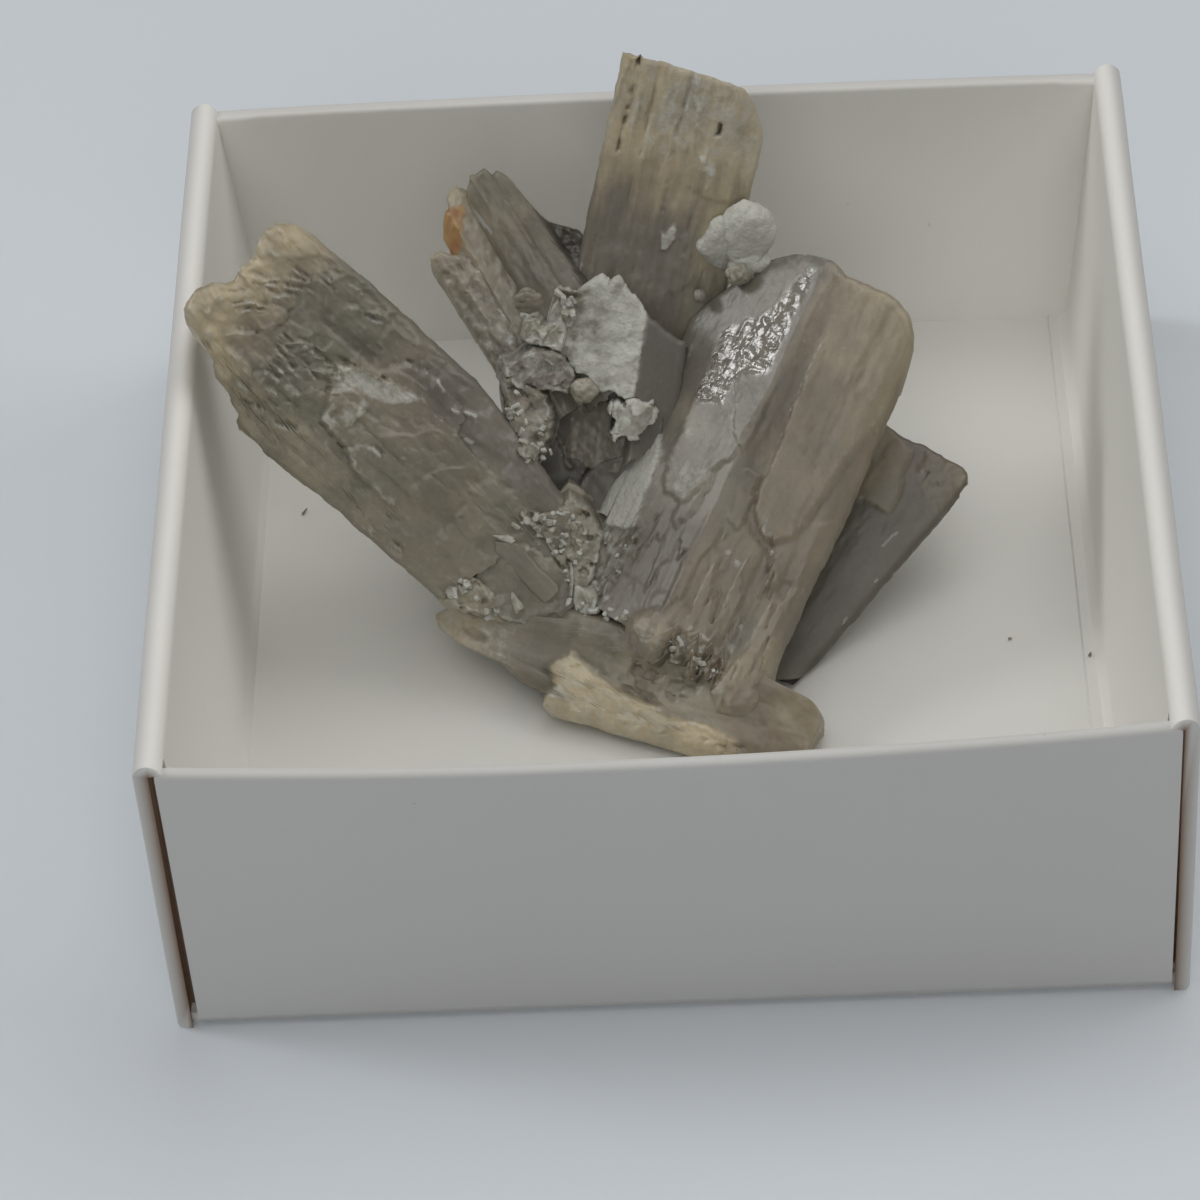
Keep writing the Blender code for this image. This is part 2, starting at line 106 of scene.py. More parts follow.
def grain(*where, seed=0):
    """Smooth noise from -1 to 1: the numbers at a cell's corners, blended by 3t^2 - 2t^3 each way."""
    point = np.stack(np.broadcast_arrays(*where), -1).astype(float)
    low = np.floor(point)
    part = ramp(point - low, 0, 1)
    total = 0.0
    for corner in np.ndindex(*(2,) * point.shape[-1]):
        share = np.prod(np.where(corner, part, 1 - part), -1)
        total = total + share * dice(low + corner, seed)
    return 2 * total - 1


def layered(*where, seed=0, layers=3):
    """Noise from about -1 to 1 in layers, each twice as fine and half as strong as the last."""
    total = 0.0
    for k in range(layers):
        total = total + grain(*(w * 2.0**k for w in where), seed=seed + 31 * k) / 2.0**k
    return total / (2 - 2.0 ** (1 - layers))


def blades(u, s, wide, long, seed, edge=0.08):
    """Steps from -1 to 1 like split blades: strips side by side, each in lengths of its own height.

    A strip's height changes over the width of an edge, and its lengths end in small jagged steps.
    """
    place = u / wide
    low = np.floor(place)
    share = ramp(place - low, 1 - min(edge / wide, 1), 1)
    jag = 0.35 * grain(u / (0.3 * wide), s / long, seed=seed + 5)
    total = 0.0
    for k in (0, 1):
        strip = (low + k)[..., None]
        along = s / long + jag + 9 * dice(strip, seed)
        row = np.floor(along)[..., None]
        turn = ramp(along - row[..., 0], 1 - min(1.5 * edge / long, 1), 1)
        here = dice(np.concatenate([strip, row], -1), seed + 1)
        after = dice(np.concatenate([strip, row + 1], -1), seed + 1)
        total = total + (share if k else 1 - share) * (here + (after - here) * turn)
    return 2 * total - 1


def cells(x, y, seed=0):
    """The nearest centre of a jittered lattice: the way to it, its number and how near an edge is."""
    base = np.stack([np.floor(x), np.floor(y)], -1)
    best, second = np.full(x.shape, 9.0), np.full(x.shape, 9.0)
    dx, dy, number = np.zeros(x.shape), np.zeros(x.shape), np.zeros(x.shape)
    for step in np.ndindex(3, 3):
        cell = base + np.array(step) - 1
        away_x = x - cell[..., 0] - 0.15 - 0.7 * dice(cell, seed)
        away_y = y - cell[..., 1] - 0.15 - 0.7 * dice(cell, seed + 1)
        far = np.hypot(away_x, away_y)
        closer = far < best
        second = np.where(closer, best, np.minimum(second, far))
        dx, dy = np.where(closer, away_x, dx), np.where(closer, away_y, dy)
        number = np.where(closer, dice(cell, seed + 2), number)
        best = np.minimum(best, far)
    return dx, dy, number, second - best


def chips(u, s, wide, long, seed):
    """Height from -1 to 1 of small flat chips: each cell has its level and tilt, and fades at its rim."""
    bent_u = u / wide + 0.25 * grain(s / long, seed=seed + 7)
    dx, dy, number, rim = cells(bent_u, s / long + 0.25 * grain(u / wide, seed=seed + 8), seed=seed)
    turn = 2 * math.pi * number
    level = 1.6 * (np.modf(number * 7.0)[0] - 0.5) + 0.9 * (dx * np.cos(turn) + dy * np.sin(turn))
    return level * ramp(rim, 0.0, 0.22)


def domes(u, s, size, seed):
    """Height from 0 to 1 of rounded lumps side by side: the root of 1 less the squared way to a centre."""
    dx, dy, number, _ = cells(u / size, s / size, seed=seed)
    return np.sqrt(np.clip(1 - (dx * dx + dy * dy) / 0.55, 0, 1)) * (0.5 + 0.5 * number)


def spread(field, reach):
    """The mean of a grid of values over a square of cells round each, by running sums."""
    wide = 2 * reach + 1
    for _ in (0, 1):
        padded = np.pad(field, [(reach + 1, reach), (0, 0)], mode="edge")
        total = np.cumsum(padded, axis=0)
        field = ((total[wide:] - total[:-wide]) / wide).T
    return field


def near(x, y, line):
    """The distance of each point to an open line of corners."""
    corners = np.asarray(line, float)
    nearest = np.full(x.shape, 1e9)
    for (ax, ay), (bx, by) in zip(corners[:-1], corners[1:]):
        ex, ey = bx - ax, by - ay
        t = np.clip(((x - ax) * ex + (y - ay) * ey) / (ex * ex + ey * ey), 0, 1)
        nearest = np.minimum(nearest, np.hypot(x - ax - t * ex, y - ay - t * ey))
    return nearest


def inside(x, y, outline):
    """How far each point lies inside a closed outline: the distance to its side, negative outside."""
    corners = np.asarray(outline, float)
    odd = np.zeros(x.shape, bool)
    for (ax, ay), (bx, by) in zip(corners, np.roll(corners, -1, axis=0)):
        if by != ay:
            odd ^= ((ay > y) != (by > y)) & (x < ax + (bx - ax) * (y - ay) / (by - ay))
    nearest = near(x, y, list(corners) + [corners[0]])
    return np.where(odd, nearest, -nearest)


def between(x, y, knots):
    """A smooth height through a few known ones: their mean, weighted by one over distance cubed."""
    total, weight = np.zeros(x.shape), np.zeros(x.shape)
    for knot_x, knot_y, height in knots:
        share = 1 / (0.01 + np.hypot(x - knot_x, y - knot_y) ** 3)
        total, weight = total + share * height, weight + share
    return total / weight


# Meshes

def piece(name, points, faces, material, node, uv=None, masks=None, sharp=None):
    """A mesh piece from points in millimetres and rows of corner numbers, which stands for a node."""
    mesh = bpy.data.meshes.new(name)
    if isinstance(faces, np.ndarray):
        mesh.vertices.add(len(points))
        mesh.vertices.foreach_set("co", (np.asarray(points) * MM).astype(np.float32).ravel())
        mesh.loops.add(faces.size)
        mesh.loops.foreach_set("vertex_index", faces.astype(np.int32).ravel())
        mesh.polygons.add(len(faces))
        starts = np.arange(0, faces.size, faces.shape[1], dtype=np.int32)
        mesh.polygons.foreach_set("loop_start", starts)
        mesh.update(calc_edges=True)
    else:
        mesh.from_pydata((np.asarray(points) * MM).tolist(), [], faces)
    mesh.validate()
    corner = np.zeros(len(mesh.loops), np.int32)
    mesh.loops.foreach_get("vertex_index", corner)
    if uv is not None:
        layer = mesh.uv_layers.new(name="along")
        layer.data.foreach_set("uv", np.asarray(uv, np.float32)[corner].ravel())
    for label, values in (masks or {}).items():
        attribute = mesh.attributes.new(label, "FLOAT", "POINT")
        attribute.data.foreach_set("value", np.broadcast_to(values, len(points)).astype(np.float32))
    if sharp is None:
        mesh.shade_flat()
    else:
        mesh.shade_smooth()
        mesh.set_sharp_from_angle(angle=math.radians(sharp))
    mesh.materials.append(material)
    thing = bpy.data.objects.new(name, mesh)
    bpy.context.scene.collection.objects.link(thing)
    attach(thing, "root")
    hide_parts(node)
    return thing


def stone(name, points, faces, material, uv, masks, sharp=None):
    """A piece of the cluster: it stays above the tray's floor, and tones that aren't given are 0."""
    points[:, 2] = np.clip(points[:, 2], REST, HIGHEST)
    tones = {label: masks.get(label, 0.0) for label in TONES}
    return piece(name, points, faces, material, "aragonite", uv, tones, sharp)


def block_skin(counts):
    """The closed skin of a block of cells: each point's whole-numbered place, and its square faces.

    The three counts are the cells across, along and from front to back. Every face looks outwards.
    """
    shape = [count + 1 for count in counts]
    skin = np.zeros(shape, bool)
    for axis in range(3):
        ends = [slice(None)] * 3
        ends[axis] = [0, -1]
        skin[tuple(ends)] = True
    number = np.full(shape, -1)
    number[skin] = np.arange(skin.sum())
    faces = []
    for sheet, turned in (
            (number[:, :, 0], False), (number[:, :, -1], True),
            (number[0], False), (number[-1], True),
            (number[:, 0].T, False), (number[:, -1].T, True)):
        quads = np.stack([sheet[:-1, :-1], sheet[1:, :-1], sheet[1:, 1:], sheet[:-1, 1:]], -1)
        quads = quads.reshape(-1, 4)
        faces.append(quads[:, ::-1] if turned else quads)
    return np.argwhere(skin), np.concatenate(faces)


def swept(rings):
    """A closed wall through rings of points, as one array: station, place on the ring, and x, y, z."""
    stations, count = rings.shape[:2]
    number = np.arange(stations * count).reshape(stations, count)
    after = np.roll(number, -1, axis=1)
    quads = np.stack([number[:-1], number[1:], after[1:], after[:-1]], -1).reshape(-1, 4)
    faces = quads.tolist() + [number[0].tolist(), number[-1][::-1].tolist()]
    points = rings.reshape(-1, 3)
    a, b, c, d = ((points - points.mean(axis=0))[quads[:, k]] for k in range(4))
    if np.sum(a * (np.cross(b, c) + np.cross(c, d))) < 0:
        faces = [face[::-1] for face in faces]
    return points, faces


def arc(centre, radius, start, end, count):
    """Points of a circle's arc in a section, from one angle in degrees to another."""
    angle = np.radians(np.linspace(start, end, count))
    return np.asarray(centre) + radius * np.stack([np.cos(angle), np.sin(angle)], -1)


def straight(start, end, count):
    """Evenly spaced points of a straight line, without its two ends."""
    share = np.linspace(0, 1, count + 2)[1:-1, None]
    return np.asarray(start) * (1 - share) + np.asarray(end) * share


# Materials

def colour(red, green, blue):
    """A colour from its display values, 0 to 255, as the linear values that a shader takes."""
    parts = []
    for value in (red, green, blue):
        share = value / 255
        parts.append(share / 12.92 if share < 0.04045 else ((share + 0.055) / 1.055) ** 2.4)
    return (*parts, 1.0)


def add(tree, kind, values=None, **settings):
    """A shader node. The settings are its own, and each value is a constant or a socket to link."""
    made = tree.nodes.new(kind)
    for key, value in settings.items():
        setattr(made, key, value)
    for key, value in (values or {}).items():
        if isinstance(value, bpy.types.NodeSocket):
            tree.links.new(value, made.inputs[key])
        else:
            made.inputs[key].default_value = value
    return made


def math_node(tree, operation, first, second=0.0, clamp=False):
    """The result of a sum on one or two numbers."""
    values = {0: first, 1: second}
    return add(tree, "ShaderNodeMath", values, operation=operation, use_clamp=clamp).outputs[0]


def stretch(tree, value, low, high, out_low=0.0, out_high=1.0):
    """A number carried from one range to another and kept inside it."""
    values = {"Value": value, "From Min": low, "From Max": high, "To Min": out_low, "To Max": out_high}
    return add(tree, "ShaderNodeMapRange", values, interpolation_type="SMOOTHSTEP").outputs["Result"]


def blend(tree, share, first, second):
    """Two colours mixed by a share of the second."""
    return add(tree, "ShaderNodeMix", {0: share, 6: first, 7: second}, data_type="RGBA").outputs[2]


def noise(tree, where, scale, detail=3.0, roughness=0.55):
    """Noise from 0 to 1 at places given by a vector socket."""
    values = {"Vector": where, "Scale": scale, "Detail": detail, "Roughness": roughness}
    return add(tree, "ShaderNodeTexNoise", values).outputs["Fac"]


def group(name, inputs, outputs):
    """An empty node group, with its input and output nodes. An input has a name and a value."""
    tree = bpy.data.node_groups.new(name, "ShaderNodeTree")
    for label, value in inputs:
        socket = tree.interface.new_socket(label, in_out="INPUT", socket_type="NodeSocketFloat")
        socket.default_value = value
    for label in outputs:
        tree.interface.new_socket(label, in_out="OUTPUT", socket_type="NodeSocketFloat")
    return tree, tree.nodes.new("NodeGroupInput"), tree.nodes.new("NodeGroupOutput")


def blade_grain_group():
    """Uneven streaks along a crystal, read from its own map of millimetres across and along."""
    inputs = (("Across", 6.0), ("Along", 0.5), ("Roughen", 0.3))
    tree, given, result = group("blade grain", inputs, ("Streak", "Height"))
    where = add(tree, "ShaderNodeUVMap", uv_map="along").outputs["UV"]
    scale = add(tree, "ShaderNodeCombineXYZ", {"X": given.outputs["Across"], "Y": given.outputs["Along"]})
    placed = add(tree, "ShaderNodeVectorMath", {0: where, 1: scale.outputs[0]}, operation="MULTIPLY")
    fine = noise(tree, placed.outputs[0], 1.0, 4.0, 0.6)
    solid = add(tree, "ShaderNodeTexCoord").outputs["Object"]
    rough = noise(tree, solid, 4200.0, 3.0, 0.6)
    mixed = math_node(tree, "MULTIPLY_ADD", rough, given.outputs["Roughen"])
    tree.links.new(fine, mixed.node.inputs[2])
    tree.links.new(stretch(tree, fine, 0.3, 0.7), result.inputs["Streak"])
    tree.links.new(mixed, result.inputs["Height"])
    return tree


def sugar_group():
    """A grainy crust of fine crystals: soft flecks, from 0 to 1, and its height."""
    tree, given, result = group("sugar crust", (("Size", 0.12),), ("Fleck", "Height"))
    solid = add(tree, "ShaderNodeTexCoord").outputs["Object"]
    scale = math_node(tree, "DIVIDE", 1 / MM, given.outputs["Size"])
    grains = add(tree, "ShaderNodeTexVoronoi", {"Vector": solid, "Scale": scale}, feature="F1")
    flecks = noise(tree, solid, 2600.0, 5.0, 0.7)
    tree.links.new(flecks, result.inputs["Fleck"])
    tree.links.new(math_node(tree, "SUBTRACT", 1.0, grains.outputs["Distance"]), result.inputs["Height"])
    return tree


def card_fibre_group():
    """Paper: a faint felted surface, slow uneven tone and rare dark fibres."""
    tree, given, result = group("card fibre", (("Felt", 3.5),), ("Tone", "Height", "Fleck"))
    solid = add(tree, "ShaderNodeTexCoord").outputs["Object"]
    scale = math_node(tree, "MULTIPLY", 1 / MM, given.outputs["Felt"])
    felt = noise(tree, solid, scale, 4.0, 0.6)
    slow = noise(tree, solid, 90.0, 3.0, 0.5)
    flecks = noise(tree, solid, 1500.0, 2.0, 0.5)
    tree.links.new(slow, result.inputs["Tone"])
    tree.links.new(felt, result.inputs["Height"])
    tree.links.new(stretch(tree, flecks, 0.78, 0.82), result.inputs["Fleck"])
    return tree


def start_material(name, roughness, ior):
    """A material with its shader, whose constants stand on the shader's own sockets."""
    material = bpy.data.materials.new(name)
    material.use_nodes = True
    shader = material.node_tree.nodes["Principled BSDF"]
    shader.inputs["Roughness"].default_value = roughness
    shader.inputs["IOR"].default_value = ior
    return material, material.node_tree, shader


def use_group(tree, inner, **values):
    """A group placed in a material with its own values."""
    placed = add(tree, "ShaderNodeGroup", node_tree=inner)
    for key, value in values.items():
        placed.inputs[key].default_value = value
    return placed.outputs


def mask(tree, label):
    """A number that a piece carries at each point."""
    return add(tree, "ShaderNodeAttribute", attribute_name=label).outputs["Fac"]


def aragonite_material(blade_grain, sugar):
    """Translucent aragonite: olive grey to violet grey, tan tips, white frost and a little rust.

    Frost fades in where its mask plus noise rises, and its height is a crust of fine crystals. Streaks
    along the axis show only where the streaky mask asks for them. Gloss takes away roughness.
    """
    material, tree, shader = start_material("aragonite", 0.38, 1.6)
    shader.inputs["Subsurface Weight"].default_value = 0.25
    shader.inputs["Subsurface Radius"].default_value = (0.9, 0.7, 0.5)
    shader.inputs["Subsurface Scale"].default_value = MM
    streaks = use_group(tree, blade_grain, Across=3.2, Along=0.3, Roughen=0.5)
    crust = use_group(tree, sugar, Size=0.14)
    solid = add(tree, "ShaderNodeTexCoord").outputs["Object"]
    clouds = noise(tree, solid, 420.0, 3.0, 0.6)
    grit = noise(tree, solid, 3600.0, 4.0, 0.65)
    hue = stretch(tree, noise(tree, solid, 230.0, 3.0, 0.6), 0.35, 0.65)
    tone = blend(tree, hue, colour(137, 129, 115), colour(128, 126, 113))
    violet = math_node(tree, "MULTIPLY", mask(tree, "violet"), stretch(tree, clouds, 0.25, 0.6, 0.6, 1.0))
    tone = blend(tree, violet, tone, colour(117, 112, 107))
    tan = math_node(tree, "MULTIPLY", mask(tree, "tan"), stretch(tree, clouds, 0.3, 0.65, 0.7, 1.0))
    tone = blend(tree, tan, tone, colour(193, 179, 148))
    streaky = mask(tree, "streaky")
    lines = math_node(tree, "MULTIPLY", streaky, stretch(tree, streaks["Streak"], 0.0, 1.0, -0.22, 0.16))
    uneven = stretch(tree, clouds, 0.3, 0.7, 0.92, 1.08)
    shade = math_node(tree, "MULTIPLY", uneven, math_node(tree, "ADD", lines, 1.0))
    shade = math_node(tree, "MULTIPLY", shade, stretch(tree, grit, 0.3, 0.7, 0.95, 1.05))
    tone = add(tree, "ShaderNodeVectorMath", {0: tone, "Scale": shade}, operation="SCALE").outputs[0]
    asked = mask(tree, "frost")
    level = math_node(tree, "ADD", asked, stretch(tree, crust["Fleck"], 0.3, 0.7, -0.26, 0.26))
    flecks = stretch(tree, level, 0.1, 0.8)
    frost = math_node(tree, "MULTIPLY", flecks, stretch(tree, asked, 0.0, 1.0, 0.4, 1.0))
    tone = blend(tree, frost, tone, colour(196, 196, 187))
    rust = blend(tree, stretch(tree, clouds, 0.35, 0.6), colour(150, 96, 60), colour(174, 140, 88))
    tone = blend(tree, mask(tree, "rust"), tone, rust)
    # The dark tone is darker stone, and also painted shade in grooves, pits and hollows
    tone = blend(tree, mask(tree, "dark"), tone, colour(66, 63, 56))
    tree.links.new(tone, shader.inputs["Base Color"])
    wet = math_node(tree, "MULTIPLY", mask(tree, "gloss"), -0.33)
    rough = math_node(tree, "ADD", stretch(tree, frost, 0.0, 1.0, 0.38, 0.65), wet, clamp=True)
    tree.links.new(rough, shader.inputs["Roughness"])
    height = math_node(tree, "MULTIPLY", math_node(tree, "MULTIPLY", frost, crust["Height"]), 1.2)
    height = math_node(tree, "ADD", height, math_node(tree, "MULTIPLY", grit, 0.5))
    height = math_node(tree, "ADD", height, math_node(tree, "MULTIPLY", streaky, streaks["Height"]))
    bump = add(tree, "ShaderNodeBump", {"Height": height, "Distance": 0.00005, "Strength": 0.6})
    tree.links.new(bump.outputs["Normal"], shader.inputs["Normal"])
    return material


def card_material(card_fibre):
    """Coated white card: faintly warm and felted, with a brown raw core where it is cut, and painted light
    as a whiter tone inside.
    """
    material, tree, shader = start_material("white card", 0.62, 1.45)
    fibre = use_group(tree, card_fibre, Felt=5.0)
    outer = blend(tree, fibre["Tone"], colour(208, 207, 203), colour(213, 212, 209))
    inner = blend(tree, fibre["Tone"], colour(243, 242, 236), colour(246, 245, 240))
    # Painted light: the whiter inner tone brightens the inside of the tray and the rims
    tone = blend(tree, mask(tree, "inner_light"), outer, inner)
    tone = blend(tree, math_node(tree, "MULTIPLY", fibre["Fleck"], 0.2), tone, colour(120, 105, 90))
    tone = blend(tree, mask(tree, "core"), tone, colour(128, 100, 78))
    tree.links.new(tone, shader.inputs["Base Color"])
    bump = add(tree, "ShaderNodeBump", {"Height": fibre["Height"], "Distance": 0.00003, "Strength": 0.25})
    tree.links.new(bump.outputs["Normal"], shader.inputs["Normal"])
    return material


def table_material():
    """The pale table: a flat bluish white with a barely uneven tone."""
    material, tree, shader = start_material("pale table", 0.6, 1.45)
    solid = add(tree, "ShaderNodeTexCoord").outputs["Object"]
    tone = blend(tree, noise(tree, solid, 8.0), colour(216, 222, 228), colour(219, 225, 231))
    tree.links.new(tone, shader.inputs["Base Color"])
    return material


# The folded card tray

def stand(points):
    """Leans the square tray: each corner's shift, shared out by how near a point lies to it."""
    x, y, z = points[..., 0], points[..., 1], points[..., 2]
    across = np.clip(x / (TRAY_WIDTH / 2), -1, 1)
    along = np.clip(y / (TRAY_DEPTH / 2), -1, 1)
    up = np.maximum(z / TRAY_HEIGHT, 0)[..., None]
    moved = points.copy()
    for (side, end), (rim, foot) in LEAN.items():
        share = ((1 + side * across) / 2 * (1 + end * along) / 2)[..., None]
        moved += share * (up * np.asarray(rim) + (1 - up) * np.asarray(foot))
    moved[..., 1] += CENTRE_SHIFT
    return moved


def side_wall(side, chamfer, card):
    """A double side wall: its section carried from front to back, one layer thick at the front slit.

    The section, as (outward, up), is upright outside, round at the rim and sloping inside.
    """
    r = SIDE_RIM / 2
    foot = -SIDE_FOOT
    section = np.concatenate([
        arc((-0.3, 0.3), 0.3, -90, 0, 6),
        straight((0, 0.3), (0, TRAY_HEIGHT - r), 16),
        arc((-r, TRAY_HEIGHT - r), r, 0, 180, 17),
        straight((-SIDE_RIM, TRAY_HEIGHT - r), (foot, CARD + chamfer), 16),
        [(foot, CARD + chamfer), (foot - chamfer, CARD - 0.05), (foot - chamfer, 0.02)],
    ])
    half = TRAY_DEPTH / 2
    slit_end = -half + SLIT_DEPTH
    stations = np.concatenate([[-half, -half + 0.06, slit_end - 0.02, slit_end],
                               np.linspace(slit_end + 0.5, half - 0.06, 60), [half]])
    along, out = np.meshgrid(stations, section[:, 0], indexing="ij")
    up = np.broadcast_to(section[:, 1], out.shape)
    slit = (along < slit_end - 0.01) & (up < TRAY_HEIGHT - END_WALL_DROP - 0.15)
    # Painted light: the whiter inner tone also covers the top of the rim
    inner_light = ramp(-out, 0.1 * SIDE_RIM, 0.8 * SIDE_RIM)
    out = np.where(slit, np.maximum(out, -CARD), out)
    # The cut ends are a little rounded, and the inner layer isn't quite flat
    ends = np.minimum(along + half, half - along)
    out = out - 0.05 * np.clip(1 - ends / 0.06, 0, 1) * np.where(out > -r, 1.0, -1.0)
    inner = ramp(-out, SIDE_RIM * 0.9, SIDE_FOOT)
    out = out + 0.06 * inner * grain(along / 9.0, up / 7.0, seed=3 + side)
    out = out - 0.03 * ramp(up, 4, 12) * (1 + grain(along / 6.0, seed=5 + side))
    rise = up + 0.03 * ramp(up, 12, 15) * (grain(along / 3.5, seed=7 + side) - 1)
    points, faces = swept(stand(np.stack([side * (TRAY_WIDTH / 2 + out), along, rise], -1)))
    core = (slit & (out < -0.5)).ravel()
    name = "tray_left_wall" if side < 0 else "tray_right_wall"
    masks = {"core": core, "inner_light": inner_light.ravel()}
    return piece(name, points, faces, card, "card_tray", masks=masks, sharp=40)


def end_wall(end, bulge, card):
    """A single end wall with a round rim: its top bows outwards by a parabola, more towards the rim."""
    height = TRAY_HEIGHT - END_WALL_DROP
    r = END_WALL / 2
    gap = FRONT_GAP if end < 0 else 0.0
    section = np.concatenate([
        arc((-0.2, gap + 0.2), 0.2, -90, 0, 6),
        straight((0, gap + 0.2), (0, height - r), 20),
        arc((-r, height - r), r, 0, 180, 13),
        straight((-END_WALL, height - r), (-END_WALL, gap), 20),
        [(-END_WALL, gap + 0.02)],
    ])
    half = TRAY_WIDTH / 2
    left, right = -half + CARD + SLIT_LEFT, half - CARD - SLIT_RIGHT
    middle = np.linspace(left + 0.5, right - 0.5, 72)
    stations = np.concatenate([[left, left + 0.08], middle, [right - 0.08, right]])
    x, out = np.meshgrid(stations, section[:, 0], indexing="ij")
    up = np.broadcast_to(section[:, 1], x.shape)
    tall = np.clip(up / height, 0, 1)
    bow = bulge * (1 - (x / half) ** 2) * tall**1.5
    wave = 0.05 * tall * grain(x / 8.0, up / 9.0, seed=11 + end)
    # The glued corner flaps show through as a faint step on the inside of the back wall
    flap = 0.09 * ramp(np.abs(x), 17.3, 17.5) * (out < -0.4) * (end > 0)
    ends = np.minimum(x - left, right - x)
    soft = 0.1 * np.clip(1 - ends / 0.5, 0, 1) ** 2 * ramp(up, height - 1.2, height)
    place = end * (TRAY_DEPTH / 2 + out + bow + wave - flap)
    points, faces = swept(stand(np.stack([x, place, up - soft], -1)))
    core = ((ends < 0.04) & (out < -0.1) & (out > -0.55)).ravel()
    name = "tray_front_wall" if end < 0 else "tray_back_wall"
    masks = {"core": core, "inner_light": ramp(-out, 0.4, 0.55).ravel()}
    return piece(name, points, faces, card, "card_tray", masks=masks, sharp=40)


def tray_floor(card):
    """The floor: a flat card with a faint wave, and the edge of a folded flange along its right side."""
    places, faces = block_skin((50, 48, 1))
    half = TRAY_WIDTH / 2 - 0.35
    flange = (17.15, 17.23)
    x = np.interp(places[:, 0], [0, 46, 47, 50], [-half, *flange, half])
    y = 2 * half * places[:, 1] / 48 - half
    top = CARD + 0.05 * grain(x / 9.0, y / 9.0, seed=17) - 0.03 + 0.14 * ramp(x, *flange)
    z = np.where(places[:, 2] == 0, top, 0.0)
    points = stand(np.stack([x, y, z], -1))
    masks = {"core": 0.0, "inner_light": 0.45}
    return piece("tray_floor", points, faces, card, "card_tray", masks=masks, sharp=40)


# The crystals

def unit(vector):
    """The vector at length one."""
    vector = np.asarray(vector, float)
    return vector / np.linalg.norm(vector)


class Crystal:
    """The frame of one crystal: its axis from foot to tip, its front, and the way across."""

    def __init__(self, foot, tip, facing):
        self.foot = np.asarray(foot, float) + (0.0, CENTRE_SHIFT, 0.0)
        self.axis = unit(np.subtract(tip, foot))
        facing = np.asarray(facing, float)
        self.front = unit(facing - facing.dot(self.axis) * self.axis)
        self.side = np.cross(self.axis, self.front)

    def point(self, across, along, out):
        """The place, or one place per row, that lies so far across, along and out from the foot."""
        across, along, out = (np.asarray(value, float)[..., None] for value in (across, along, out))
        return self.foot + across * self.side + along * self.axis + out * self.front

    def seen(self, across, along, out):
        """Where the photograph shows a point that stands out from the crystal's middle plane."""
        slide = out / SIGHT.dot(self.front)
        return across - slide * SIGHT.dot(self.side), along - slide * SIGHT.dot(self.axis)


LEFT = Crystal(foot=(-6.9, 0.2, 7.4), tip=(-16.3, 3.6, 18.4), facing=(0.35, -0.77, 0.54))
BACK_FACING = (-0.06, -0.68, 0.74)
BACK_OUTER = Crystal(foot=(-5.8, 6.0, 10.1), tip=(-9.0, 10.2, 13.8), facing=BACK_FACING)
BACK_MIDDLE = Crystal(foot=(-4.6, 6.4, 10.6), tip=(-8.5, 12.0, 15.4), facing=BACK_FACING)
BACK_INNER = Crystal(foot=(-3.0, 6.6, 11.0), tip=(-7.1, 12.5, 15.9), facing=BACK_FACING)
TALL = Crystal(foot=(-1.5, 7.6, 9.1), tip=(1.8, 12.5, 20.7), facing=(-0.06, -0.91, 0.40))
MIDDLE = Crystal(foot=(-4.6, 0.5, 4.9), tip=(-2.4, 7.4, 14.1), facing=(0.01, -0.80, 0.60))
RIGHT = Crystal(foot=(-1.2, -4.6, 4.2), tip=(6.8, 7.5, 14.0), facing=(-0.21, -0.52, 0.83))
LOW_RIGHT = Crystal(foot=(5.4, -2.3, 1.6), tip=(11.2, 4.1, 6.0), facing=(-0.13, -0.51, 0.85))
FRONT = Crystal(foot=(5.3, -7.4, 2.5), tip=(-9.7, -1.4, 3.3), facing=(-0.17, -0.54, 0.82))


def along_line(value, line):
    """The height of a broken line of (place, height) corners at each place."""
    places, heights = np.asarray(line, float).T
    return np.interp(value, places, heights)


def rounded(distance, reach):
    """How far a rounded edge falls back, from 1 at the edge to 0 at its reach, as a quarter circle."""
    return 1 - np.sqrt(1 - np.clip(1 - distance / reach, 0, 1) ** 2)


